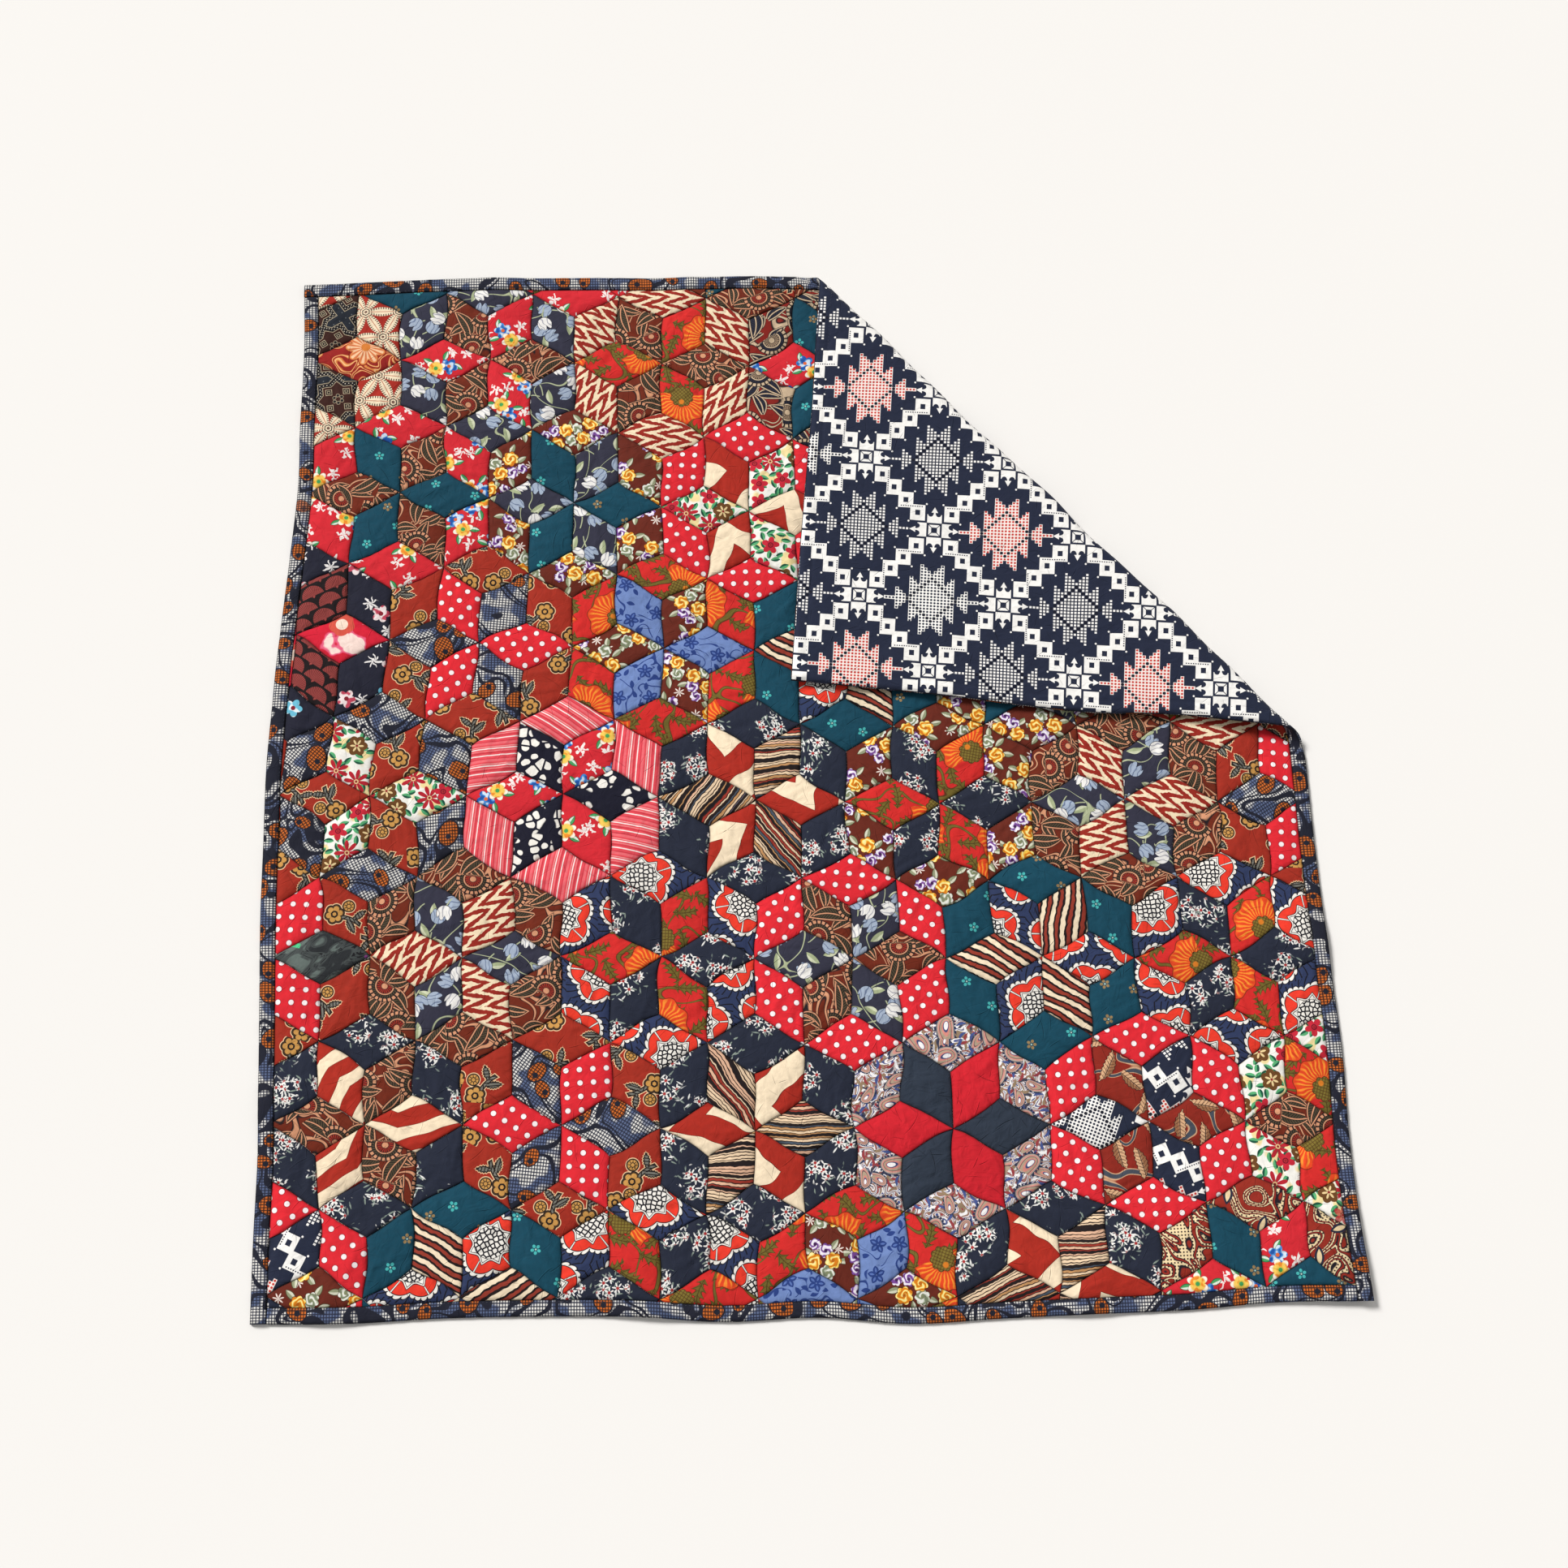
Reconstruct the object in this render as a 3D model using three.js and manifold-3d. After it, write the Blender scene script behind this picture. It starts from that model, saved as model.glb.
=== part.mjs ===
// A patchwork quilted mat that lies flat on a floor, with one corner folded over onto its front.
// Millimetres, +Z up. The origin is on the floor, under the middle of the mat as it lies.
// Every piece is first made flat, as it was sewn, and is then laid with the fold.

import * as THREE from 'three';
import { mergeVertices } from 'three/addons/utils/BufferGeometryUtils.js';
import Module from 'manifold-3d';

// Patchwork of 60 degree diamonds: six make a star, and six more fill its notches to a hexagon.
const DIAMOND_SIDE = 51;
const STAR_PITCH = 2 * Math.sqrt(3) * DIAMOND_SIDE;
const STAR_ROW_PITCH = 3 * DIAMOND_SIDE;
const STAR_ROWS = 8;
const STARS_IN_ROW = 7;
const FIRST_STAR = { row: 1, x: -484.5, y: 420 };

// Hand piecing: stars that sit off the even lattice, and how far round them the drift dies away.
const DRIFT_REACH = 85;
const DRIFTS = [
  { row: 1, column: 2, x: -4, y: 0 },
  { row: 2, column: 0.5, x: 8, y: 6 },
  { row: 2, column: 2.5, x: -4, y: -9 },
  { row: 3, column: 0, x: 2, y: 9 },
  { row: 4, column: 0.5, x: -8, y: 1 },
  { row: 4, column: 1.5, x: -4, y: 3 },
  { row: 4, column: 3.5, x: -4, y: -4 },
  { row: 5, column: 1, x: -4, y: 0 },
  { row: 6, column: 2.5, x: -3, y: -6 },
  { row: 6, column: 3.5, x: -2, y: -5 },
  { row: 7, column: 0, x: 10, y: 3 },
  { row: 7, column: 5, x: 10, y: 4 },
];

// The flat mat: its corners, and the outward bow of each side at even steps along it.
const CORNERS = {
  topLeft: new THREE.Vector2(-494.5, 504),
  topRight: new THREE.Vector2(470, 524),
  bottomRight: new THREE.Vector2(503.5, -507),
  bottomLeft: new THREE.Vector2(-487.5, -518),
};
const SIDES = {
  top: { from: 'topLeft', to: 'topRight', bow: [0, 3, 6, 6, 6, 5, 7, 5, 4, 2, 2, 2, 1, 0] },
  right: { from: 'topRight', to: 'bottomRight', bow: [0, 0, 0, 2, 2, -4, -2, -1, -2, -2, -1, 0, -3, -3, 0] },
  bottom: { from: 'bottomRight', to: 'bottomLeft', bow: [0, -1, 4, 6, 8, 11, 4, 6, 0, -2, -2, 1, 0] },
  left: { from: 'bottomLeft', to: 'topLeft', bow: [0, 1, 1, 4, 7, 10, 11, 12, 9, 5, 0, -4, -3, -3, 0] },
};
const POINTS_PER_BOW = 2;

// Heights above the floor of the flat layers.
const PIECE_GAP = 0.3;
const BACKING_THICKNESS = 1.2;
const UPPER_BASE = BACKING_THICKNESS + PIECE_GAP;
const SEAM_HEIGHT = 2.8;
const PUFF_HEIGHT = 5;

// Binding: a strip along each side, on the backing and beside the pieced top.
const BINDING_WIDTH = 13.5;
const BINDING_SIDE_GAP = 0.6;
const BINDING_HEIGHT = 4;
const BINDING_SHOULDER_HEIGHT = 3;
const BINDING_SHOULDER_WIDTH = 2;
const BUTT_GAP = 0.8;

// The fold: the corner's direction, the rolled edge's distance from the origin along it, and the roll.
const FOLD_ANGLE = THREE.MathUtils.degToRad(42.97);
const FOLD_EDGE = 368.7;
const ROLL_RADIUS = 10;
const ROLL_STEPS = 6;
const FLAP_HEIGHT = 11.8;
const SETTLE_LENGTH = 80;
const SETTLE_STEPS = 3;

// A point this near to a line of bending counts as on it.
const ON_LINE = 0.05;

const FOLD_LINE = FOLD_EDGE - ROLL_RADIUS;
const ROLL_LENGTH = Math.PI * ROLL_RADIUS;
const FOLD_WAY = new THREE.Vector2(Math.cos(FOLD_ANGLE), Math.sin(FOLD_ANGLE));

// Distances past the fold line at which the cloth bends.
const BENDS = [
  ...Array.from({ length: ROLL_STEPS + 1 }, (_, n) => (ROLL_LENGTH * n) / ROLL_STEPS),
  ...Array.from({ length: SETTLE_STEPS }, (_, n) => ROLL_LENGTH + (SETTLE_LENGTH * (n + 1)) / SETTLE_STEPS),
];

const FINISHES = {
  pieced_top: { color: 0x8f3b35, roughness: 0.9 },
  backing: { color: 0x2f3652, roughness: 0.9 },
  binding: { color: 0x4b5669, roughness: 0.9 },
};

const wasm = await Module();
wasm.setup();

// Where a star's middle lies on the even lattice.
function starMiddle(row, column) {
  return new THREE.Vector2(
    FIRST_STAR.x + STAR_PITCH * column,
    FIRST_STAR.y - STAR_ROW_PITCH * (row - FIRST_STAR.row),
  );
}

// Moves a lattice point by the drift of the stars around it.
function drifted(point) {
  const moved = point.clone();
  for (const drift of DRIFTS) {
    const share = Math.exp(-0.5 * (point.distanceTo(starMiddle(drift.row, drift.column)) / DRIFT_REACH) ** 2);
    moved.x += drift.x * share;
    moved.y += drift.y * share;
  }
  return moved;
}

// The diamonds of one star and its ring, as steps from its middle on the lattice of diamond sides.
// Step m points 30 + 60 m degrees up from +X.
function diamondSteps() {
  const steps = Array.from({ length: 6 }, (_, m) => {
    const angle = THREE.MathUtils.degToRad(30 + 60 * m);
    return new THREE.Vector2(Math.cos(angle), Math.sin(angle)).multiplyScalar(DIAMOND_SIDE);
  });
  const middle = new THREE.Vector2();
  const diamonds = [];
  steps.forEach((step, m) => {
    const before = steps[(m + 5) % 6];
    const after = steps[(m + 1) % 6];
    diamonds.push([middle, before, before.clone().add(step), step]);
    diamonds.push([step, step.clone().add(before), step.clone().multiplyScalar(2), step.clone().add(after)]);
  });
  return diamonds;
}

// All the diamonds that the mat is cut from, each as its four drifted corners, counterclockwise.
function patchwork() {
  const steps = diamondSteps();
  const diamonds = [];
  for (let row = 0; row < STAR_ROWS; row += 1) {
    const firstColumn = row % 2 === 1 ? 0 : -0.5;
    for (let n = 0; n < STARS_IN_ROW; n += 1) {
      const middle = starMiddle(row, firstColumn + n);
      diamonds.push(...steps.map((corners) => corners.map((step) => drifted(middle.clone().add(step)))));
    }
  }
  return diamonds;
}

// A list of points that gives equal points the same number.
function pointList() {
  const points = [];
  const numbers = new Map();
  return {
    points,
    number(x, y, z) {
      const key = [x, y, z].map((value) => Math.round(value * 1000)).join();
      if (!numbers.has(key)) {
        numbers.set(key, points.length);
        points.push([x, y, z]);
      }
      return numbers.get(key);
    },
  };
}

// The puffed patchwork before it is trimmed: each diamond rises from its seams to its middle.
function puffedSlab() {
  const list = pointList();
  const faces = [];
  const edges = new Map();
  for (const corners of patchwork()) {
    const middle = corners.reduce((sum, corner) => sum.add(corner), new THREE.Vector2()).divideScalar(4);
    const seam = corners.map((corner) => list.number(corner.x, corner.y, SEAM_HEIGHT));
    const under = corners.map((corner) => list.number(corner.x, corner.y, UPPER_BASE));
    const puff = list.number(middle.x, middle.y, PUFF_HEIGHT);
    for (let k = 0; k < 4; k += 1) {
      const next = (k + 1) % 4;
      faces.push([seam[k], seam[next], puff]);
      edges.set(`${seam[k]} ${seam[next]}`, [seam[k], seam[next], under[next], under[k]]);
    }
    faces.push([under[0], under[2], under[1]], [under[0], under[3], under[2]]);
  }
  for (const [key, [a, b, underB, underA]] of edges) {
    if (!edges.has(key.split(' ').reverse().join(' '))) {
      faces.push([underA, underB, b], [underA, b, a]);
    }
  }
  return { points: list.points, faces };
}

// The outward bow at a share of the way along a side, on a smooth curve through its table.
function bowAt(bow, t) {
  const place = t * (bow.length - 1);
  const n = Math.min(Math.floor(place), bow.length - 2);
  const [before, from, to, after] = [n - 1, n, n + 1, n + 2].map((k) =>
    bow[THREE.MathUtils.clamp(k, 0, bow.length - 1)]);
  const f = place - n;
  const slope = to - before;
  const bend = 2 * before - 5 * from + 4 * to - after;
  const twist = 3 * (from - to) + after - before;
  return from + 0.5 * f * (slope + f * (bend + f * twist));
}

// A side of the flat mat: where it starts, its run to the next corner, its length and its outward way.
function sideOf(name) {
  const start = CORNERS[SIDES[name].from];
  const run = CORNERS[SIDES[name].to].clone().sub(start);
  const length = run.length();
  return { start, run, length, outward: new THREE.Vector2(-run.y, run.x).divideScalar(length) };
}

// Points along a side, a set distance in from the mat's edge, between two distances from its ends.
// Lines at different insets share their stations, so neighbouring pieces stay parallel.
function alongSide(name, inset, startTrim, endTrim) {
  const { start, run, length, outward } = sideOf(name);
  const { bow } = SIDES[name];
  const first = startTrim / length;
  const last = 1 - endTrim / length;
  const steps = POINTS_PER_BOW * (bow.length - 1);
  const stations = Array.from({ length: steps }, (_, n) => n / steps);
  const corner = BINDING_WIDTH / length;
  const between = [corner, ...stations, 1 - corner].filter((t) => t > first && t < last);
  return [first, ...between.sort((a, b) => a - b), last].map((t) =>
    start.clone().addScaledVector(run, t).addScaledVector(outward, bowAt(bow, t) - inset));
}

// A flat slab between two heights, with the mat's outline drawn in by an inset.
function outlineSlab(inset, low, high) {
  const names = Object.keys(SIDES);
  const lines = names.map((name) => alongSide(name, inset, inset, inset));
  const loop = lines.flatMap((line, n) => {
    const { outward } = sideOf(names[n]);
    const end = lines.at(n - 1).at(-1);
    const corner = end.clone().addScaledVector(outward, line[0].clone().sub(end).dot(outward));
    return [corner, ...line.slice(1, -1)];
  });
  const shape = new THREE.Shape(loop);
  const geometry = new THREE.ExtrudeGeometry(shape, { depth: high - low, bevelEnabled: false, curveSegments: 1 });
  geometry.translate(0, 0, low);
  geometry.deleteAttribute('normal');
  geometry.deleteAttribute('uv');
  return solidOf(mergeVertices(geometry));
}

// A strip of binding along a side, with rounded shoulders.
function bindingStrip(name, startTrim, endTrim) {
  const width = BINDING_WIDTH - BINDING_SIDE_GAP;
  const section = [
    [0, UPPER_BASE],
    [0, BINDING_SHOULDER_HEIGHT],
    [BINDING_SHOULDER_WIDTH, BINDING_HEIGHT],
    [width - BINDING_SHOULDER_WIDTH, BINDING_HEIGHT],
    [width, BINDING_SHOULDER_HEIGHT],
    [width, UPPER_BASE],
  ];
  const rows = section.map(([inset, height]) =>
    alongSide(name, inset, startTrim, endTrim).map((point) => [point.x, point.y, height]));
  const stations = rows[0].length;
  const at = (row, station) => (row % section.length) * stations + station;
  const faces = [];
  for (let row = 0; row < section.length; row += 1) {
    for (let station = 0; station + 1 < stations; station += 1) {
      faces.push([at(row, station), at(row + 1, station + 1), at(row, station + 1)]);
      faces.push([at(row, station), at(row + 1, station), at(row + 1, station + 1)]);
    }
  }
  for (let row = 1; row + 1 < section.length; row += 1) {
    faces.push([at(0, 0), at(row + 1, 0), at(row, 0)]);
    faces.push([at(0, stations - 1), at(row, stations - 1), at(row + 1, stations - 1)]);
  }
  return { points: rows.flat(), faces };
}

// The points and faces of an indexed geometry.
function solidOf(geometry) {
  const position = geometry.getAttribute('position');
  const index = geometry.getIndex();
  const points = Array.from({ length: position.count }, (_, n) =>
    [position.getX(n), position.getY(n), position.getZ(n)]);
  const faces = Array.from({ length: index.count / 3 }, (_, n) =>
    [index.getX(3 * n), index.getX(3 * n + 1), index.getX(3 * n + 2)]);
  return { points, faces };
}

function manifoldOf({ points, faces }) {
  const vertProperties = new Float32Array(points.flat());
  const triVerts = new Uint32Array(faces.flat());
  return new wasm.Manifold(new wasm.Mesh({ numProp: 3, vertProperties, triVerts }));
}

// The part of one solid that lies inside another.
function trimmed(solid, outline) {
  const mesh = manifoldOf(solid).intersect(manifoldOf(outline)).getMesh();
  const points = Array.from({ length: mesh.vertProperties.length / mesh.numProp }, (_, n) =>
    Array.from(mesh.vertProperties.slice(n * mesh.numProp, n * mesh.numProp + 3)));
  const faces = Array.from({ length: mesh.triVerts.length / 3 }, (_, n) =>
    Array.from(mesh.triVerts.slice(3 * n, 3 * n + 3)));
  return { points, faces };
}

// How far past the fold line a flat point lies.
function pastFold([x, y]) {
  return x * FOLD_WAY.x + y * FOLD_WAY.y - FOLD_LINE;
}

// Splits the faces of a flat solid along one line parallel to the fold.
function splitAt({ points, faces }, distance) {
  const sides = points.map((point) => {
    const past = pastFold(point) - distance;
    return Math.abs(past) < ON_LINE ? 0 : past;
  });
  const allPoints = points.slice();
  const crossings = new Map();
  const crossing = (a, b) => {
    const [low, high] = a < b ? [a, b] : [b, a];
    const key = `${low} ${high}`;
    if (!crossings.has(key)) {
      const share = sides[low] / (sides[low] - sides[high]);
      crossings.set(key, allPoints.length);
      allPoints.push(points[low].map((value, axis) => THREE.MathUtils.lerp(value, points[high][axis], share)));
    }
    return crossings.get(key);
  };
  const allFaces = [];
  for (const face of faces) {
    const halves = [[], []];
    face.forEach((corner, k) => {
      const next = face[(k + 1) % 3];
      if (sides[corner] >= 0) halves[0].push(corner);
      if (sides[corner] <= 0) halves[1].push(corner);
      if (sides[corner] * sides[next] < 0) {
        const cut = crossing(corner, next);
        halves[0].push(cut);
        halves[1].push(cut);
      }
    });
    const isFlat = face.every((corner) => sides[corner] === 0);
    for (const half of isFlat ? [face] : halves) {
      for (let k = 1; k + 1 < half.length; k += 1) {
        allFaces.push([half[0], half[k], half[k + 1]]);
      }
    }
  }
  return { points: allPoints, faces: allFaces };
}

// The fold's section: the place across the fold line, and the height, of a point of the flat cloth.
function foldSection(past, height) {
  if (past < ROLL_LENGTH) {
    const turn = Math.max(past, 0) / ROLL_RADIUS;
    const radius = ROLL_RADIUS - height;
    return [radius * Math.sin(turn), ROLL_RADIUS - radius * Math.cos(turn)];
  }
  const settled = THREE.MathUtils.smoothstep(past - ROLL_LENGTH, 0, SETTLE_LENGTH);
  return [ROLL_LENGTH - past, THREE.MathUtils.lerp(2 * ROLL_RADIUS, FLAP_HEIGHT, settled) - height];
}

// Where a flat point goes when the corner is rolled over and comes to lie on the front.
// Between two bends the cloth is straight, so the layers stay parallel.
function laid([x, y, height]) {
  const past = pastFold([x, y]);
  if (past <= 0) return [x, y, height];
  const next = BENDS.findIndex((bend) => bend > past);
  let [across, z] = foldSection(past, height);
  if (next > 0) {
    const [low, high] = [BENDS[next - 1], BENDS[next]];
    const share = (past - low) / (high - low);
    const ends = [foldSection(low, height), foldSection(high, height)];
    [across, z] = [0, 1].map((axis) => THREE.MathUtils.lerp(ends[0][axis], ends[1][axis], share));
  }
  return [x + (across - past) * FOLD_WAY.x, y + (across - past) * FOLD_WAY.y, z];
}

// Splits a flat solid along the lines where the fold bends it, lays it, and gives it its name and finish.
function pieceOf(name, flat, finish) {
  const { points, faces } = BENDS.reduce(splitAt, flat);
  const geometry = new THREE.BufferGeometry();
  geometry.setAttribute('position', new THREE.Float32BufferAttribute(points.map(laid).flat(), 3));
  geometry.setIndex(faces.flat());
  geometry.computeVertexNormals();
  const mesh = new THREE.Mesh(geometry, new THREE.MeshStandardMaterial({ ...finish, metalness: 0 }));
  mesh.name = name;
  return mesh;
}

const mat = new THREE.Group();
mat.add(pieceOf('backing', outlineSlab(0, 0, BACKING_THICKNESS), FINISHES.backing));

const trimLine = outlineSlab(BINDING_WIDTH, 0, 2 * PUFF_HEIGHT);
mat.add(pieceOf('pieced_top', trimmed(puffedSlab(), trimLine), FINISHES.pieced_top));

// The top strip runs over the ends of the side strips, and the bottom strip stands between them.
const butted = BINDING_WIDTH + BUTT_GAP;
mat.add(pieceOf('binding_top', bindingStrip('top', 0, 0), FINISHES.binding));
mat.add(pieceOf('binding_right', bindingStrip('right', butted, 0), FINISHES.binding));
mat.add(pieceOf('binding_bottom', bindingStrip('bottom', butted, butted), FINISHES.binding));
mat.add(pieceOf('binding_left', bindingStrip('left', 0, butted), FINISHES.binding));

export default mat;
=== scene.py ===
# A patchwork quilted mat that lies on a pale floor, with one corner folded over onto its front.
# The cloth is worked out flat, in millimetres, as it was sewn, and is then laid with the fold.
import math
from collections import namedtuple
from functools import partial

import bpy
import numpy as np
from mathutils.geometry import delaunay_2d_cdt
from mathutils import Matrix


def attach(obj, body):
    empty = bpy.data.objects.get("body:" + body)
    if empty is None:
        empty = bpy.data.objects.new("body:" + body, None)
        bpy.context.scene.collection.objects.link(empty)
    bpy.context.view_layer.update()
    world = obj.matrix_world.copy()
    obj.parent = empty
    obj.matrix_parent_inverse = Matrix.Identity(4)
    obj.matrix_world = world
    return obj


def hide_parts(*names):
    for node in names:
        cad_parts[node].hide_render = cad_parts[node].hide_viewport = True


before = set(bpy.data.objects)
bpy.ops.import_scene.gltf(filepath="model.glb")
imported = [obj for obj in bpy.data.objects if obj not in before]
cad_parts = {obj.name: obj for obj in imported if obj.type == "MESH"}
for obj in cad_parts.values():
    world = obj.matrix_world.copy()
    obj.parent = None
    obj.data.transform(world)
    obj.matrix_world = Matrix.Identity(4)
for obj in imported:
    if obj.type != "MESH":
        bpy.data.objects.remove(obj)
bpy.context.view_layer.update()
MM = 0.001
TURN = 2 * math.pi

# Patchwork of 60 degree diamonds: six make a star, and six more fill its notches to a hexagon.
DIAMOND_SIDE = 51.0
DIAMOND_WIDTH = DIAMOND_SIDE * math.sin(math.radians(60))
STAR_PITCH = 2 * math.sqrt(3) * DIAMOND_SIDE
STAR_ROW_PITCH = 3 * DIAMOND_SIDE
FIRST_STAR = np.array([-484.5, 420.0])
STEPS = [(1, 0), (0, 1), (-1, 1), (-1, 0), (0, -1), (1, -1)]

# Stars that sit off the even lattice: row, column, and the drift of the middle.
DRIFT_REACH = 85.0
DRIFTS = [
    (1, 2, -4, 0), (2, 0.5, 8, 6), (2, 2.5, -4, -9), (3, 0, 2, 9), (4, 0.5, -8, 1), (4, 1.5, -4, 3),
    (4, 3.5, -4, -4), (5, 1, -4, 0), (6, 2.5, -3, -6), (6, 3.5, -2, -5), (7, 0, 10, 3), (7, 5, 10, 4),
]

# The cloths of each hexagon, row by row: the star's two kinds of diamond, and the six round it.
# Odd rows start at column 0, and the rows between them half a column before it.
BLOCKS = [
    [
        ("teal", "red_floral", "flower_lattice"), ("red_floral", "teal", "teal"),
        ("poppy", "red_dot", "red_floral"), ("teal", "rust_floral", "brown_paisley"),
        ("poppy", "navy_floral", "brown_rose"), ("teal", "zigzag", "navy_floral"),
        ("poppy", "teal", "red_dot"),
    ], [
        ("orange_floral", "black_geo", "flower_lattice"), ("brown_paisley", "red_floral", "navy_floral"),
        ("brown_paisley", "poppy", "zigzag"), ("teal", "red_floral", "cream_paisley"),
        ("navy_spray", "red_dot", "brown_rose"), ("poppy", "teal", "medallion"),
        ("teal", "navy_floral", "red_dot"),
    ], [
        ("teal", "red_dot", "navy_multi"), ("teal", "brown_paisley", "red_floral"),
        ("teal", "navy_floral", "brown_rose"), ("cream_red", "white_floral", "red_dot"),
        ("navy_floral", "zigzag", "brown_paisley"), ("red_dot", "navy_grid", "rust_floral"),
        ("cream_red", "multi_stripe", "navy_spray"),
    ], [
        ("red_ikat", "red_scale", "navy_multi"), ("red_dot", "navy_grid", "rust_floral"),
        ("blue_vine", "brown_rose", "poppy"), ("medallion", "tri_stripe", "teal"),
        ("teal", "navy_floral", "brown_rose"), ("poppy", "brown_paisley", "zigzag"),
        ("red_dot", "teal", "navy_grid"),
    ], [
        ("teal", "red_dot", "rust_floral"), ("white_floral", "rust_floral", "navy_grid"),
        ("black_batik", "red_floral", "pink_stripe"), ("cream_red", "multi_stripe", "navy_spray"),
        ("navy_spray", "poppy", "brown_rose"), ("zigzag", "navy_floral", "brown_paisley"),
        ("red_dot", "navy_grid", "rust_floral"),
    ], [
        ("grey_streak", "red_dot", "rust_floral"), ("navy_floral", "zigzag", "brown_paisley"),
        ("navy_spray", "poppy", "medallion"), ("brown_paisley", "navy_floral", "red_dot"),
        ("medallion", "tri_stripe", "teal"), ("navy_spray", "poppy", "medallion"),
        ("teal", "poppy", "white_floral"),
    ], [
        ("teal", "red_dot", "navy_spray"), ("rust_stripe", "brown_paisley", "navy_spray"),
        ("navy_grid", "red_dot", "rust_floral"), ("multi_stripe", "cream_red", "navy_spray"),
        ("plain_navy", "plain_red", "light_paisley"), ("rust_leaf", "step_star", "red_dot"),
        ("poppy", "brown_paisley", "white_floral"),
    ], [
        ("brown_rose", "step_star", "red_dot"), ("tri_stripe", "medallion", "teal"),
        ("poppy", "navy_spray", "medallion"), ("brown_rose", "blue_vine", "poppy"),
        ("cream_red", "multi_stripe", "navy_spray"), ("teal", "red_floral", "scroll"),
        ("teal", "red_dot", "scroll"),
    ],
]

# The run of the print in degrees on some diamonds: row, column and kind, then the place round the star.
PRINT_RUNS = {
    (3, 3, 1): {3: -30, 5: -25},
    (4, 1.5, 2): {0: 85, 1: -33, 2: 7, 3: 86, 4: 80, 5: -13},
    (4, 2.5, 1): {1: 5, 3: 55, 5: -50},
    (5, 4, 1): {1: 83, 3: -30, 5: -32},
    (6, 0.5, 0): {0: 0, 2: 50, 4: 50},
    (6, 2.5, 0): {0: 0, 2: -55, 4: 2},
    (6, 4.5, 1): {1: 32, 3: -22, 5: 20},
    (7, 0, 1): {1: -25},
    (7, 1, 0): {0: 30, 2: -30},
    (7, 4, 1): {1: 3, 3: 25},
}
# The place in the print that lies at the middle of some diamonds.
PRINT_PLACES = {(6, 4.5, 1): {1: (50, 24), 3: (74, -64), 5: (40, 32)}, (7, 0, 1): {1: (36, 38)}}

# Places where the mat's edge stands a little off the floor: x, y, run in degrees, length, width, height.
LIFTS = [
    (503, -500, 135, 90, 70, 4.5), (250, -520, 80, 70, 26, 2.6), (-140, -520, 97, 90, 30, 3.2),
    (-420, -520, 75, 60, 22, 2.2), (-490, -330, 8, 70, 24, 2.4), (-495, 90, -6, 90, 30, 2.6),
    (-495, 330, 5, 80, 26, 3.0), (-300, 512, -86, 70, 24, 2.2), (-110, 520, -95, 60, 20, 2.0),
    (495, -180, 172, 80, 26, 2.8), (492, 40, 185, 60, 22, 2.2),
]

# The flat mat: its corners, and the outward bow of each side at even steps along it.
TOP_LEFT, TOP_RIGHT = np.array([-494.5, 504.0]), np.array([470.0, 524.0])
BOTTOM_RIGHT, BOTTOM_LEFT = np.array([503.5, -507.0]), np.array([-487.5, -518.0])
BOWS = {
    "top": (TOP_LEFT, TOP_RIGHT, [0, 3, 6, 6, 6, 5, 7, 5, 4, 2, 2, 2, 1, 0]),
    "right": (TOP_RIGHT, BOTTOM_RIGHT, [0, 0, 0, 2, 2, -4, -2, -1, -2, -2, -1, 0, -3, -3, 0]),
    "bottom": (BOTTOM_RIGHT, BOTTOM_LEFT, [0, -1, 4, 6, 8, 11, 4, 6, 0, -2, -2, 1, 0]),
    "left": (BOTTOM_LEFT, TOP_LEFT, [0, 1, 1, 4, 7, 10, 11, 12, 9, 5, 0, -4, -3, -3, 0]),
}
SIDE_ORDER = list(BOWS)

# Heights above the floor of the flat layers.
BACKING_THICKNESS = 1.2
UNDER_PATCHES = 1.55
SEAM_VALLEY = 2.2
PUFF = 5.3
LOWEST, HIGHEST = 1.95, 6.3
# How far in from the mat's edge the patches are trimmed, and how far they stop short of their seams.
TRIM = 13.5
PATCH_GAP = 0.12

# The fold: its direction, its line, and the roll that the cloth makes there.
FOLD_ANGLE = math.radians(42.97)
ROLL_RADIUS = 10.0
ROLL_LENGTH = math.pi * ROLL_RADIUS
FOLD_LINE = 368.7 - ROLL_RADIUS
FLAP_HEIGHT = 11.8
SETTLE_LENGTH = 80.0

# The back print: one medallion's place on the flat cloth, and the repeat across and along.
BACK_PRINT_AT = np.array([156.2, 463.7])
BACK_REPEAT = (141.0, 148.0)


def seeded(*numbers):
    return np.random.default_rng([int(n) + 1000 for n in numbers])


def smooth(share):
    share = np.clip(share, 0, 1)
    return share * share * (3 - 2 * share)


def way_of(turn):
    return np.array([math.cos(turn), math.sin(turn)])


def left_of(way):
    return np.array([-way[1], way[0]])


def pairs(items):
    """Each item with the next one, round to the first."""
    return zip(items, items[1:] + items[:1])


def ridge(flat, start, turn, width, length, bend=0.0, ends=True):
    """A soft ridge, 1 high, along a line that may bend; without ends it stays level behind its start."""
    away = flat - start
    along = away @ way_of(turn)
    across = away @ left_of(way_of(turn)) + bend * along * along
    if not ends:
        along = np.maximum(along, 0)
    return np.exp(-((across / width) ** 2) - (along / length) ** 2)


# the flat mat


def star_middle(row, column):
    return FIRST_STAR + np.array([STAR_PITCH * column, -STAR_ROW_PITCH * (row - 1)])


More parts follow.
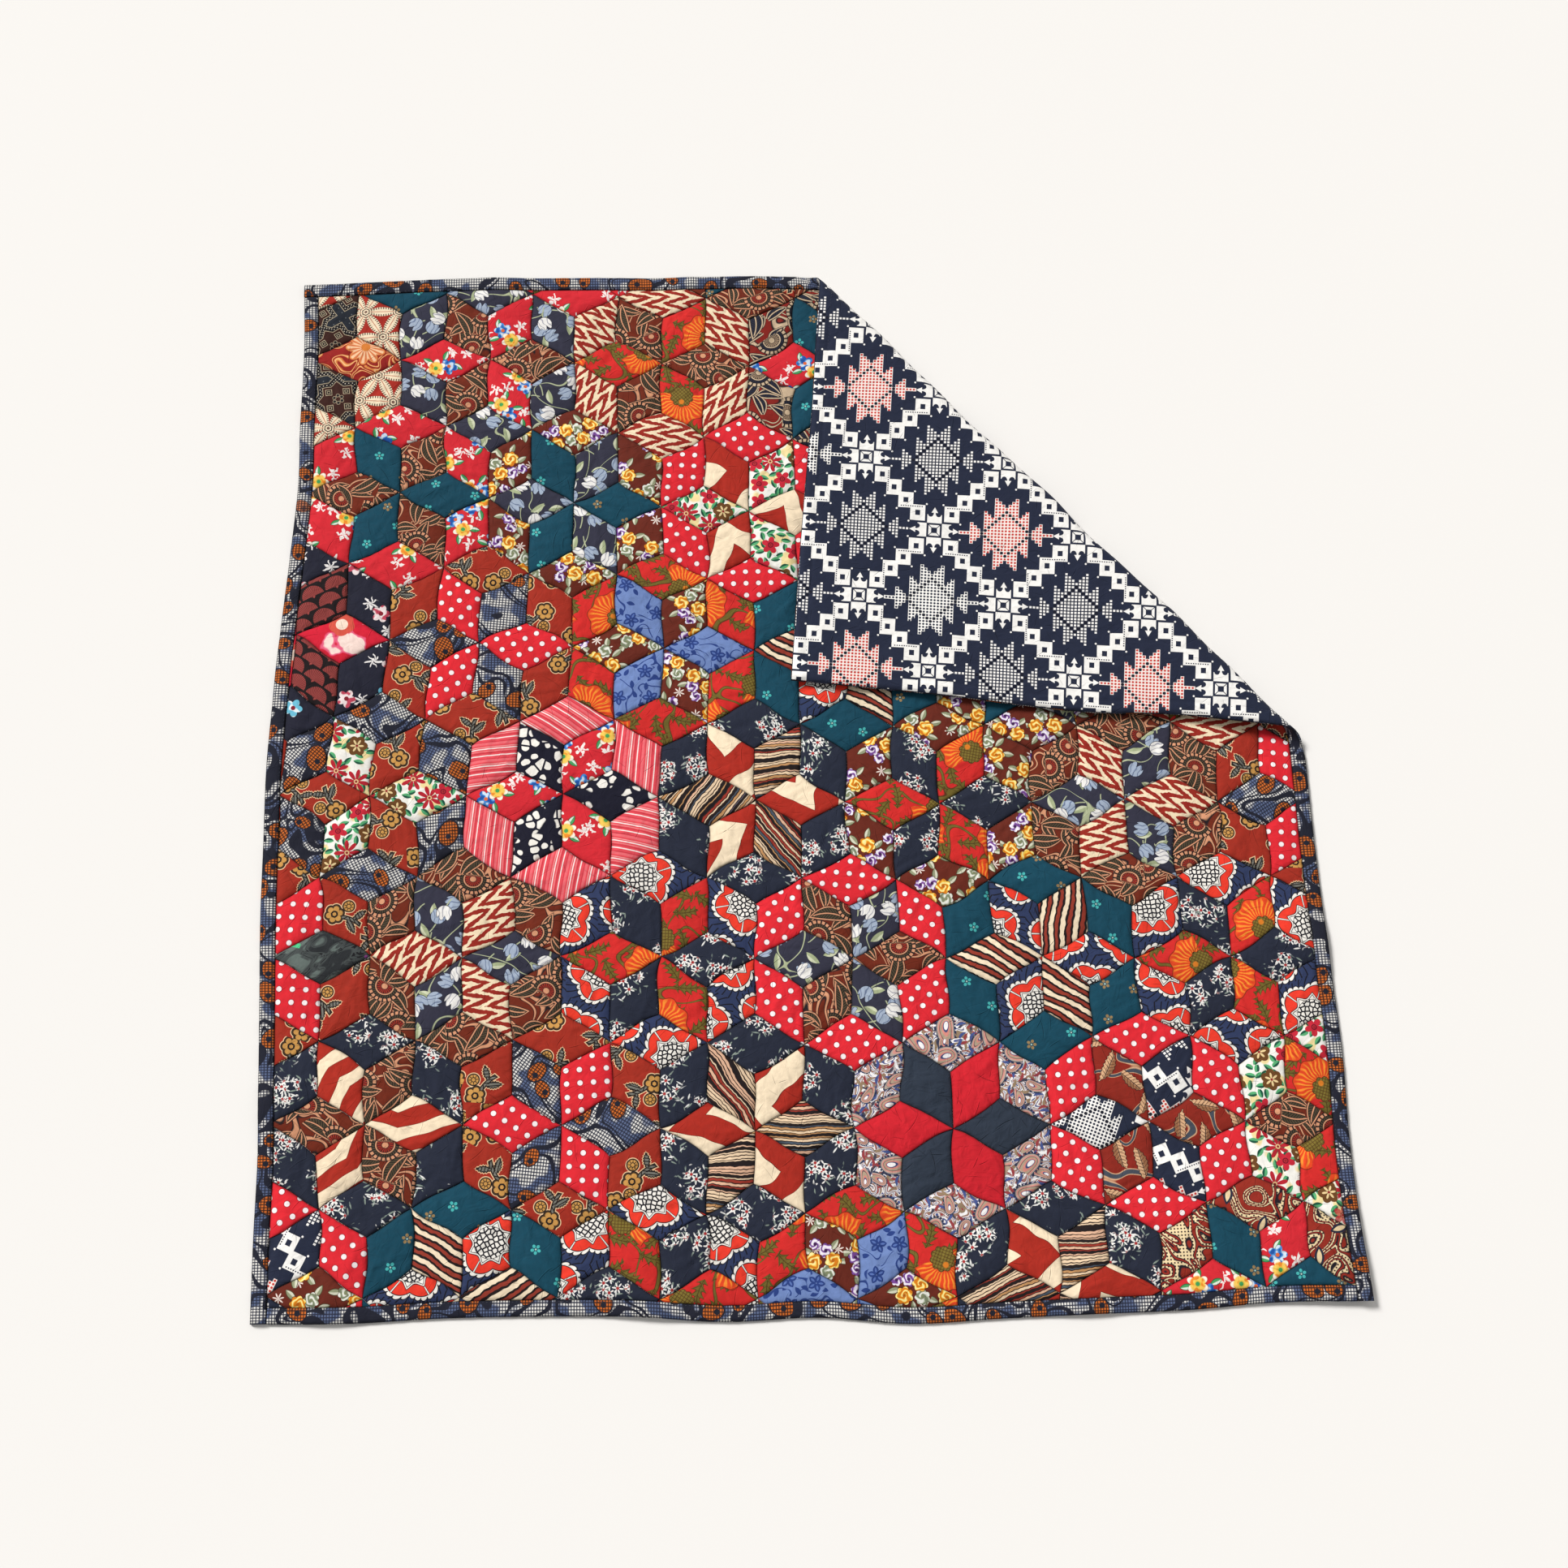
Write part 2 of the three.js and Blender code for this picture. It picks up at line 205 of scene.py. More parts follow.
def lattice_point(i, j):
    """A point of the lattice of diamond sides, with the drift of stars near it and a little of its own."""
    slant = DIAMOND_SIDE * math.cos(math.radians(30))
    even = FIRST_STAR + np.array([slant * i, DIAMOND_SIDE * (i / 2 + j)])
    point = even.copy()
    for row, column, x, y in DRIFTS:
        away = np.linalg.norm(even - star_middle(row, column)) / DRIFT_REACH
        point += np.array([x, y]) * math.exp(-0.5 * away * away)
    return point + seeded(i, j, 1).uniform(-1.6, 1.6, 2)


def wander(flat):
    """The slow wander of hand-sewn lines."""
    x, y = flat.T
    return np.stack([
        0.7 * np.sin(y / 15.1 + 0.8 * np.sin(x / 31)) + 0.4 * np.sin((x + y) / 8.7),
        0.7 * np.sin(x / 13.7 + 0.8 * np.sin(y / 27)) + 0.4 * np.sin((x - 1.3 * y) / 9.3),
    ], 1)


def bow_at(bow, share):
    """A side's bow at a share of its length, on a smooth curve through the steps of its table."""
    bow = np.asarray(bow, float)
    place = np.clip(share, 0, 1) * (len(bow) - 1)
    n = np.minimum(place.astype(int), len(bow) - 2)
    before, start, end, after = (bow[np.clip(n + k, 0, len(bow) - 1)] for k in (-1, 0, 1, 2))
    f = place - n
    bend = 2 * before - 5 * start + 4 * end - after
    twist = 3 * (start - end) + after - before
    return start + 0.5 * f * (end - before + f * (bend + f * twist))


class Side:
    """One side of the flat mat, run clockwise, with its outward way."""

    def __init__(self, start, end, bow):
        self.start, self.bow = start, bow
        self.length = np.linalg.norm(end - start)
        self.along = (end - start) / self.length
        self.outward = left_of(self.along)

    def inset(self, flat):
        """How far in from this side each flat point lies."""
        away = flat - self.start
        return bow_at(self.bow, away @ self.along / self.length) - away @ self.outward

    def meeting(self, inset, other, other_inset):
        """The distance along this side at which it meets another side, both drawn in."""
        start = self.start - self.outward * inset
        return (-other_inset - (start - other.start) @ other.outward) / (self.along @ other.outward)

    def line(self, distances, inset):
        bow = bow_at(self.bow, distances / self.length)
        return self.start + np.outer(distances, self.along) + np.outer(bow - inset, self.outward)


SIDES = {name: Side(*BOWS[name]) for name in SIDE_ORDER}


def neighbours(name):
    n = SIDE_ORDER.index(name)
    return SIDES[SIDE_ORDER[n - 1]], SIDES[SIDE_ORDER[(n + 1) % 4]]


def nearest_inset(flat):
    return np.min([side.inset(flat) for side in SIDES.values()], axis=0)


def drawn_in(flat, inset):
    """Moves the points that lie nearer to the edge than the inset in to it."""
    flat = flat.copy()
    for _ in range(2):
        for side in SIDES.values():
            short = np.maximum(inset - side.inset(flat), 0)
            flat -= np.outer(short, side.outward)
    return flat


# the fold

FOLD_WAY = way_of(FOLD_ANGLE)
FOLD_RUN = left_of(FOLD_WAY)


def past_fold(flat):
    return flat @ FOLD_WAY - FOLD_LINE


def sway(flat):
    """The flap doesn't lie quite even."""
    x, y = flat.T
    return 0.35 * np.sin(x / 37 + 1) + 0.3 * np.sin(y / 29 + x / 60)


def lift(flat):
    """How far off the floor the cloth lies."""
    raised = np.zeros(len(flat))
    for x, y, run, length, width, height in LIFTS:
        raised += height * ridge(flat, (x, y), math.radians(run), width, length, ends=False)
    return raised * smooth(-(past_fold(flat) + 5) / 60)


def fold_wave(flat):
    """How far the fold's edge strays to either side of its line."""
    run = flat @ FOLD_RUN
    return 1.5 * np.sin(run / 34 + 0.9 * np.sin(run / 71)) + 0.7 * np.sin(run / 13)


def laid(flat, height):
    """Where points of the flat cloth, at heights in it, go when the corner is rolled over onto the front."""
    past = past_fold(flat)
    turn = np.clip(past, 0, ROLL_LENGTH) / ROLL_RADIUS
    radius = ROLL_RADIUS - height
    settled = smooth((past - ROLL_LENGTH) / SETTLE_LENGTH)
    flap = 2 * ROLL_RADIUS + (FLAP_HEIGHT - 2 * ROLL_RADIUS) * settled - height + sway(flat) * settled
    across = np.where(past < ROLL_LENGTH, (radius + fold_wave(flat)) * np.sin(turn), ROLL_LENGTH - past)
    z = np.where(past < ROLL_LENGTH, ROLL_RADIUS - radius * np.cos(turn), flap)
    across, z = np.where(past <= 0, past, across), np.where(past <= 0, height + lift(flat), z)
    return np.column_stack([flat + np.outer(across - past, FOLD_WAY), z])


# meshes


def mesh_object(name, points, faces, prints=None, values=None, bake=None):
    """A smooth mesh from points in millimetres, with the print's place in mm, and numbers, at each point."""
    mesh = bpy.data.meshes.new(name)
    mesh.from_pydata((points * MM).tolist(), [], faces)
    mesh.shade_smooth()
    corners = np.empty(len(mesh.loops), int)
    mesh.loops.foreach_get("vertex_index", corners)
    if prints is not None:
        layer = mesh.uv_layers.new(name="print")
        layer.data.foreach_set("uv", prints[corners].astype(np.float32).ravel())
    if bake is not None:
        layer = mesh.uv_layers.new(name="OFBake")
        layer.data.foreach_set("uv", bake.astype(np.float32).ravel())
    for key, numbers in (values or {}).items():
        data = mesh.attributes.new(key, "FLOAT", "POINT").data
        data.foreach_set("value", np.asarray(numbers, np.float32))
    made = bpy.data.objects.new(name, mesh)
    bpy.context.scene.collection.objects.link(made)
    return made


def quad_faces(at):
    """The quads of a grid of point numbers; those of the grid's transpose face the other way."""
    return np.stack([at[:-1, :-1], at[:-1, 1:], at[1:, 1:], at[1:, :-1]], 2).reshape(-1, 4).tolist()


def tube_faces(at):
    """The faces of a closed tube, from a row of point numbers for each corner of its section."""
    return quad_faces(np.vstack([at, at[:1]]).T) + [at[::-1, 0].tolist(), at[:, -1].tolist()]


def walls(upper, low):
    """The faces of a slab: those on top, the same below, and walls along the open edges."""
    edges = {edge for face in upper for edge in pairs(face)}
    faces = list(upper)
    faces += [[n + low for n in reversed(face)] for face in upper]
    faces += [[a, a + low, b + low, b] for a, b in sorted(edges) if (b, a) not in edges]
    return faces


class Heap:
    """Meshes joined into one."""

    def __init__(self):
        self.parts, self.faces, self.count = [], [], 0

    def add(self, faces, points, prints, seams, tones):
        self.parts.append((points, prints, seams, tones))
        self.faces += [[n + self.count for n in face] for face in faces]
        self.count += len(points)

    def made(self, name):
        points, prints, seams, tones = (np.concatenate(part) for part in zip(*self.parts))
        return mesh_object(name, points, self.faces, prints, {"seam": seams, "tone": tones})


# the patches

# Each patch is a grid of points, closer at the seams, over a coarse one below.
GRID = 24
UNDER_GRID = 4
SKIP = GRID // UNDER_GRID
AT = np.arange((GRID + 1) ** 2).reshape(GRID + 1, GRID + 1)
UNDER = AT[::SKIP, ::SKIP].ravel()
EVEN = np.arange(GRID + 1) / GRID
CLOSE = 0.35 * EVEN + 0.65 * (0.5 - 0.5 * np.cos(np.pi * EVEN))
SHARE = CLOSE * (1 - 2 * PATCH_GAP / DIAMOND_WIDTH) + PATCH_GAP / DIAMOND_WIDTH
V, U = (shares.ravel() for shares in np.meshgrid(SHARE, SHARE, indexing="ij"))

# A patch isn't made if its middle lies this far outside the mat, or if it reaches in past the trim by less
# than a sliver. It is cut at the trim if any part of it comes nearer to it than the last of these.
FAR_OUT, SLIVER, CUT = -40.0, 0.5, 0.05
# A patch that comes this near to the roll of the fold is as fine below as on top.
ROLL_MARGIN = 2
# The count of creases over the whole mat.
LONG_CREASES = 90


def plus(a, b):
    return a[0] + b[0], a[1] + b[1]


def all_diamonds():
    """Each diamond's cloth, hexagon and kind, place round the star, and lattice corners counterclockwise."""
    for row, blocks in enumerate(BLOCKS):
        for n, cloths in enumerate(blocks):
            column = n - 0.5 * (row % 2 == 0)
            middle = (round(4 * column), round(-3 * (row - 1) - 2 * column))
            for m in range(6):
                before, step, after = STEPS[m - 1], STEPS[m], STEPS[(m + 1) % 6]
                tip = plus(middle, step)
                star = [middle, plus(middle, before), plus(tip, before), tip]
                ring = [tip, plus(tip, before), plus(tip, step), plus(tip, after)]
                yield cloths[m % 2], (row, column, m % 2), m, star
                yield cloths[2], (row, column, 2), m, ring


def rise(distance):
    """The share of its puff that a patch has at a distance from a seam."""
    distance = np.maximum(distance, 0)
    return 0.4 * (1 - np.exp(-distance / 1.0)) + 0.6 * (1 - np.exp(-distance / 6.5))


def seam_bow(start, end, run, along):
    """The sideways bow of a hand-sewn seam, the same for the patches on both its sides."""
    if start > end:
        start, end, run, along = end, start, -run, 1 - along
    draw = seeded(*start, *end, 4)
    bow = draw.uniform(-2.2, 2.2) * np.sin(math.pi * along) + draw.uniform(-0.9, 0.9) * np.sin(TURN * along)
    return np.outer(bow, left_of(run))


def flat_patch(ids, corners):
    """A patch's flat points, and for each side its lattice points, the share along it and the distance in."""
    shares = ((1 - U) * (1 - V), U * (1 - V), U * V, (1 - U) * V)
    flat = sum(np.outer(share, corner) for share, corner in zip(shares, corners))
    around = ((U, V), (V, 1 - U), (1 - U, 1 - V), (1 - V, U))
    sides = []
    for (along, inward), (start, end), (first, last) in zip(around, pairs(ids), pairs(list(corners))):
        flat = flat + (1 - inward)[:, None] * seam_bow(start, end, (last - first) / DIAMOND_SIDE, along)
        sides.append((start, end, along, DIAMOND_WIDTH * inward))
    return flat + wander(flat), sides


def seam_relief(sides):
    """The step of the turned-under edge and the puckers along a patch's four seams."""
    relief = 0
    for start, end, along, away in sides:
        face = 1
        if start > end:
            start, end, along, face = end, start, 1 - along, -1
        draw = seeded(*start, *end, 2)
        over = draw.choice([-1, 1]) * face
        length, phase = draw.uniform(7, 12), draw.uniform(0, 6)
        ripple = np.sin(TURN * DIAMOND_SIDE * along / length + phase + 2 * np.sin(5 * along + phase))
        pucker = ripple * np.sin(math.pi * np.clip(along, 0, 1))
        relief = relief + np.exp(-away / 5.5) * (0.32 * over + 0.48 * pucker)
    return relief


def creases(flat, middle, draw):
    """Soft troughs and ridges that run in from a patch's seams."""
    relief = 0
    for _ in range(draw.integers(5, 10)):
        start, turn = middle + draw.uniform(-22, 22, 2), draw.uniform(0, TURN)
        bend = draw.uniform(-0.012, 0.012)
        width, length = draw.uniform(1.5, 3.0), draw.uniform(8, 22)
        depth = draw.choice([-1, 1]) * draw.uniform(0.5, 1.3)
        relief = relief + depth * ridge(flat, start, turn, width, length, bend)
    return relief


def long_creases(flat):
    """Slack in the whole mat, in long soft creases that cross the seams."""
    draw = seeded(7)
    relief = 0
    for _ in range(LONG_CREASES):
        start, turn = draw.uniform(-480, 480, 2), draw.uniform(0, math.pi)
        length, width, depth = draw.uniform(30, 75), draw.uniform(3.2, 6.5), draw.uniform(-0.9, 0.7)
        bend = draw.uniform(-0.004, 0.004)
        relief = relief + depth * ridge(flat, start, turn, width, length, bend)
    return relief


def patch_height(flat, to_trim, sides, middle, draw):
    """How high each point of a patch stands: puffed between its seams, with steps, puckers and creases."""
    full = rise(to_trim) * np.prod([rise(away) for *_, away in sides], axis=0)
    height = SEAM_VALLEY + (PUFF - SEAM_VALLEY) * full * draw.uniform(0.9, 1.04)
    height += seam_relief(sides)
    height += (creases(flat, middle, draw) + long_creases(flat)) * full
    height += 0.22 * np.sin(flat[:, 0] / 13 + 1.7 * np.sin(flat[:, 1] / 21)) * full
    return np.clip(height, LOWEST, HIGHEST)


def patch_print(flat, corners, draw, hexagon, m):
    """Each point's place in the print, which runs as the diamond was cut."""
    side = corners[1] - corners[0]
    cut = draw.choice([0, 60, 90, 150]) + draw.uniform(-6, 6) + math.degrees(math.atan2(side[1], side[0]))
    run = way_of(math.radians(PRINT_RUNS.get(hexagon, {}).get(m, cut)))
    anywhere = draw.uniform(0, 400, 2)
    start = PRINT_PLACES.get(hexagon, {}).get(m, anywhere)
    return (flat - corners.mean(0)) @ np.stack([run, left_of(run)], 1) + start


def slab_faces():
    """A whole patch's faces: fine on top, coarse below, and walls that join the two."""
    low = AT.size + np.arange(UNDER.size).reshape(UNDER_GRID + 1, UNDER_GRID + 1)
    below_it = dict(zip(UNDER.tolist(), low.ravel().tolist()))
    faces = quad_faces(AT) + quad_faces(low.T)
    edge = np.concatenate([AT[0, :-1], AT[:-1, -1], AT[-1, :0:-1], AT[:0:-1, 0], AT[0, :1]]).tolist()
    for k in range(0, 4 * GRID, SKIP):
        run = edge[k:k + SKIP + 1]
        faces.append([below_it[run[0]], below_it[run[-1]]] + run[::-1])
    return faces


def build_patches():
    """Every diamond of the pieced top as a thin puffed slab, gathered by cloth, and all the seams."""
    heaps, seams = {}, {}
    quads, whole = np.array(quad_faces(AT)), slab_faces()
    for cloth, hexagon, m, ids in all_diamonds():
        corners = np.array([lattice_point(*point) for point in ids])
        middle = corners.mean(0)
        if nearest_inset(middle[None])[0] < FAR_OUT:
            continue
        for ends, points in zip(pairs(ids), pairs(list(corners))):
            seams[tuple(sorted(ends))] = points
        flat, sides = flat_patch(ids, corners)
        to_trim = nearest_inset(flat) - TRIM
        if to_trim.max() < SLIVER:
            continue
        row, column, kind = hexagon
        draw = seeded(row, 2 * column, kind, m, 3)
        height = patch_height(flat, to_trim, sides, middle, draw)
        prints = patch_print(flat, corners, draw, hexagon, m)
        tone = draw.uniform(-1, 1)
        # The distance to the nearest seam or to the trim, which the cloth's shader turns into painted shade
        # there.
        seam = np.minimum(np.min([away for *_, away in sides], axis=0), np.maximum(to_trim, 0))
        past = past_fold(flat)
        used, low, faces = AT.ravel(), UNDER, whole
        rolled = past.max() >= ROLL_MARGIN and past.min() <= ROLL_LENGTH + ROLL_MARGIN
        if rolled or to_trim.min() < CUT:
            kept = quads[to_trim[quads].max(1) > CUT]
            used = low = np.unique(kept)
            faces = walls(np.searchsorted(used, kept).tolist(), len(used))
            flat = drawn_in(flat, TRIM)
        both = np.concatenate([used, low])
        points = np.concatenate([laid(flat[used], height[used]), laid(flat[low], UNDER_PATCHES)])
        heap = heaps.setdefault(cloth, Heap())
        heap.add(faces, points, prints[both], seam[both], np.full(len(both), tone))
    return {cloth: heaps[cloth].made("patches_" + cloth) for cloth in sorted(heaps)}, list(seams.values())


# the backing

# The line of stitches that holds the binding, and rows of points that give its groove on the flap.
STITCH_INSET = 12.1
HEM_ROWS = [4.5, 8.5, 10.6, STITCH_INSET, 13.6, 15.6]
HEM_WIDTH = 17.0
FLAP_START = ROLL_LENGTH + 9
# Rows of points along the fold: from and to past the fold's line, the pitch of the rows, and along them.
BACKING_ROWS = [(-1000, -8, 30, 30), (-7, ROLL_LENGTH + 6, 2.1, 7), (FLAP_START, 400, 4.2, 4.2)]
# Where the sides of the sheet start in the square that it is baked in, and how much of it each takes up.
FLAP_AT, FLAP_ROOM = 0.205, 0.79
UNDERSIDE_AT, UNDERSIDE_ROOM = 0.215, 0.33
INSIDE_AT, INSIDE_ROOM = 0.005, 0.18
RIM_AT, RIM_ROOM = 0.25, 0.7
RIM_TOP, RIM_BOTTOM = 0.04, 0.02
# The outside that shows starts this far past the fold's line.
SHOWN_FROM = -20


def to_seams(flat, seams):
    """The distance of each flat point from the nearest seam."""
    nearest = np.full(len(flat), 1e9)
    for start, end in seams:
        run = end - start
        share = np.clip((flat - start) @ run / (run @ run), 0, 1)
        nearest = np.minimum(nearest, np.linalg.norm(flat - start - np.outer(share, run), axis=1))
    return nearest


def hem_groove(flat):
    """How deep the line of stitches is drawn into the back of the flap."""
    hem = np.exp(-(((nearest_inset(flat) - STITCH_INSET) / 1.5) ** 2))
    pull = 1 + 0.4 * np.sin((flat[:, 0] + flat[:, 1]) / 2.6 + 2 * np.sin(flat[:, 0] / 15))
    return smooth((past_fold(flat) - ROLL_LENGTH) / 30) * hem * 0.6 * pull


def backing_points():
    """The flat sheet's edge, and points inside it, closer where it bends and where its outside shows."""
    loop, inner = [], []
    for side in SIDES.values():
        loop.append(side.line(np.linspace(0, side.length, int(side.length / 6), endpoint=False), 0))
    for low, high, step, spacing in BACKING_ROWS:
        for k, past in enumerate(np.arange(low, high, step)):
            run = np.arange(-800, 800, spacing) + (k % 2) * spacing / 2
            inner.append((past + FOLD_LINE) * FOLD_WAY + np.outer(run, FOLD_RUN))
    inner = np.concatenate(inner)
    inset = nearest_inset(inner)
    inner = [inner[(inset > 2.5) & ((past_fold(inner) < FLAP_START) | (inset > HEM_WIDTH))]]
    for side in (SIDES["top"], SIDES["right"]):
        for inset in HEM_ROWS:
            row = side.line(np.arange(18, side.length - 18, 3.6), inset)
            inner.append(row[(past_fold(row) > FLAP_START) & (nearest_inset(row) > inset - 0.5)])
    return np.concatenate(loop), np.concatenate(inner)


def atlas(flat, faces):
    """Each face corner's place when the backing is baked: most room goes to the outside of the flap."""
    total, lowest, size = len(flat), flat.min(0), np.ptp(flat, axis=0).max()
    flap = flat[past_fold(flat) > SHOWN_FROM - 5]
    corner, flap_size = flap.min(0), np.ptp(flap, axis=0).max()
    bake = []
    for face in faces:
        flats = flat[[n % total for n in face]]
        if len(face) == 4:
            run = RIM_AT + RIM_ROOM * (np.arctan2(flats[:, 1], flats[:, 0]) / TURN + 0.5)
            bake += [[run[k], RIM_TOP if face[k] < total else RIM_BOTTOM] for k in range(4)]
        elif face[0] < total:
            bake += (INSIDE_AT + (flats - lowest) * (INSIDE_ROOM / size)).tolist()
        elif past_fold(flats).mean() > SHOWN_FROM:
            bake += (FLAP_AT + (flats - corner) * (FLAP_ROOM / flap_size)).tolist()
        else:
            bake += (UNDERSIDE_AT + (flats - lowest) * (UNDERSIDE_ROOM / size)).tolist()
    return np.array(bake)


def build_backing(seams):
    """A thin sheet, finer where it bends and where its outside shows, with the quilting felt through it."""
    loop, inner = backing_points()
    made = delaunay_2d_cdt([*loop.tolist(), *inner.tolist()], [], [list(range(len(loop)))], 1, 1e-4)
    flat, triangles = np.array([list(point) for point in made[0]]), np.array(made[2])
    a, b, c = (flat[triangles[:, k]] for k in range(3))
    twice = (b - a)[:, 0] * (c - a)[:, 1] - (b - a)[:, 1] * (c - a)[:, 0]
    faces = walls([t if upright else t[::-1] for t, upright in zip(triangles.tolist(), twice > 0)], len(flat))
    felt = smooth((past_fold(flat) - ROLL_LENGTH) / 30) * smooth(nearest_inset(flat) / 10)
    relief = felt * 0.25 * np.sin(flat[:, 0] / 11 + 2 * np.sin(flat[:, 1] / 19)) - hem_groove(flat)
    on_flap = felt > 0
    relief[on_flap] += felt[on_flap] * 0.7 * (1 - np.exp(-to_seams(flat[on_flap], seams) / 5))
    points = np.concatenate([laid(flat, BACKING_THICKNESS), laid(flat, -relief)])
    prints = np.stack([BACK_PRINT_AT[1] - flat[:, 1], flat[:, 0] - BACK_PRINT_AT[0]], 1)
    prints = np.concatenate([prints, prints])
    values = {"seam": np.full(len(points), 20.0), "tone": np.zeros(len(points))}
    sheet = mesh_object("backing_cloth", points, faces, prints, values, atlas(flat, faces))
    return sheet, abs(twice).sum() / 2


# the binding and its stitches

# The strip's section, from the mat's edge inwards: inset, height, and the share of the puckers.
BINDING_SECTION = [
    (-0.12, 0.25, 0), (-0.65, 1.3, 0.3), (-0.5, 2.5, 0.6), (0.5, 3.4, 0.9), (2.6, 4.0, 1), (6.5, 4.25, 1),
    (10.2, 4.1, 1), (12.3, 3.75, 0.8), (13.2, 3.2, 0.4), (13.38, 2.4, 0), (13.3, 1.5, 0), (0.25, 1.5, 0),
    (-0.08, 1.3, 0),
]
BINDING_WIDTH = 13.4
BINDING_STEP = 3.2
PUCKER_HEIGHT = 0.17
# Each strip starts and ends this far in from the sides next to it: butted, or a little past them.
BUTTED, PAST = 14.3, -0.3
BINDING_ENDS = {
    "top": (PAST, PAST), "right": (BUTTED, PAST), "bottom": (BUTTED, BUTTED), "left": (PAST, BUTTED),
}
STITCH_LENGTH = 2.3
STITCH_PITCH = 3.7
STITCH_HALF_WIDTH = 0.28
STITCHED_FROM_CORNER = 15
# Along a stitch: the share of its length, and of its height.
STITCH_RUN = np.array([0, 0.35, 0.65, 1])
STITCH_CROWN = np.array([0.15, 1, 1, 0.15])


def build_binding(name):
    side, (before, after) = SIDES[name], neighbours(name)
    start_inset, end_inset = BINDING_ENDS[name]
    n = SIDE_ORDER.index(name)
    stations = int(side.length / BINDING_STEP)
    rows, prints, seam = [], [], []
    phases = seeded(n, 5).uniform(0, 6, 5)
    for inset, height, pucker in BINDING_SECTION:
        first, last = side.meeting(inset, before, start_inset), side.meeting(inset, after, end_inset)
        distance = np.linspace(first, last, stations)
        ripple = (
            np.sin(distance / 2.1 + phases[0] + 2 * np.sin(distance / 17 + phases[1]))
            + 0.8 * np.sin(distance / 5.3 + phases[2]) + 0.5 * np.sin(inset / 3 + distance / 3.1)
        )
        rows.append(laid(side.line(distance, inset), height + pucker * PUCKER_HEIGHT * ripple))
        prints.append(np.stack([distance + 700 * n, np.full(stations, inset + height)], 1))
        # Numbers by which the shader paints shade along the binding's two edges and over its lower rows.
        seam.append(np.full(stations, min(abs(inset), abs(inset - BINDING_WIDTH)) if height > 2 else 0.4))
    faces = tube_faces(np.arange(len(rows) * stations).reshape(-1, stations))
    values = {"seam": np.concatenate(seam), "tone": np.zeros(len(rows) * stations)}
    return mesh_object("binding_strip_" + name, np.concatenate(rows), faces, np.concatenate(prints), values)


def build_stitches(name, low, high, shows):
    """Short stitches along all four sides, between two heights in the cloth, where they show."""
    points, faces = [], []
    for n, side_name in enumerate(SIDE_ORDER):
        side, (before, after) = SIDES[side_name], neighbours(side_name)
        first, last = (side.meeting(STITCH_INSET, other, STITCHED_FROM_CORNER) for other in (before, after))
        draw = seeded(n, 6)
        for start in np.arange(first, last, STITCH_PITCH):
            start, inset = start + draw.uniform(-0.3, 0.3), STITCH_INSET + draw.uniform(-0.2, 0.2)
            run = start + STITCH_RUN * STITCH_LENGTH
            middle = side.line(run, inset)
            if not shows(past_fold(middle[:1])[0]):
                continue
            foot = low + (hem_groove(middle) if high < low else np.zeros(4))
            faces += tube_faces(12 * len(points) + np.arange(12).reshape(3, 4))
            points.append(np.concatenate([
                laid(side.line(run, inset - STITCH_HALF_WIDTH), foot),
                laid(middle, foot + (high - low) * STITCH_CROWN),
                laid(side.line(run, inset + STITCH_HALF_WIDTH), foot),
            ]))
    return mesh_object(name, np.concatenate(points), faces)


# numbers worked out by nodes

DRAWING = []
SOFT = 0.35


class Num:
    """A number that a material's nodes work out at each point of the cloth."""

    def __init__(self, socket):
        self.socket = socket

    def __add__(self, other):
        return calc("ADD", self, other)

    def __sub__(self, other):
        return calc("SUBTRACT", self, other)

    def __rsub__(self, other):
        return calc("SUBTRACT", other, self)

    def __mul__(self, other):
        return calc("MULTIPLY", self, other)

    def __truediv__(self, other):
        return calc("DIVIDE", self, other)

    def __abs__(self):
        return calc("ABSOLUTE", self)

    __radd__, __rmul__ = __add__, __mul__


def plug(socket, value):
    if isinstance(value, Num):
        value = value.socket
    if isinstance(value, bpy.types.NodeSocket):
        DRAWING[-1].links.new(value, socket)
    elif isinstance(value, tuple) and socket.type == "RGBA":
        socket.default_value = (*value, 1)
    else:
        socket.default_value = value


def node_of(kind, values=(), **settings):
    node = DRAWING[-1].nodes.new(kind)
    for key, value in settings.items():
        setattr(node, key, value)
    for slot, value in values:
        plug(node.inputs[slot], value)
    return node


def calc(operation, *values, clamp=False):
    node = node_of("ShaderNodeMath", enumerate(values), operation=operation, use_clamp=clamp)
    return Num(node.outputs[0])


fract, rounded, rounded_down = partial(calc, "FRACT"), partial(calc, "ROUND"), partial(calc, "FLOOR")
sine, cosine, power = partial(calc, "SINE"), partial(calc, "COSINE"), partial(calc, "POWER")
least, most = partial(calc, "MINIMUM"), partial(calc, "MAXIMUM")
to_and_fro, remainder = partial(calc, "PINGPONG"), partial(calc, "FLOORED_MODULO")


def reach(x, y):
    return calc("SQRT", x * x + y * y)


def angle(x, y):
    return calc("ARCTAN2", y, x)


def repeat(a, pitch):
    return calc("WRAP", a, pitch / 2, -pitch / 2)


def mixed(first, second, share):
    return first + (second - first) * share


def above(a, edge, soft=SOFT):
    """1 where a number is above an edge and 0 below it, with a soft step between."""
    if isinstance(edge, Num):
        a, edge = a - edge, 0
    return calc("MULTIPLY_ADD", a, 1 / soft, 0.5 - edge / soft, clamp=True)


def below(a, edge, soft=SOFT):
    return above(a, edge, -soft)


def near(a, middle, half, soft=SOFT):
    return below(abs(a - middle), half, soft)


def bars(a, half, soft):
    """1 in the middle of each whole step of a number."""
    return near(fract(a), 0.5, half, soft)


def some(pick, share):
    """1 for the motifs whose random number is above a share, and 0 for the others."""
    return above(pick, share, 0.01)


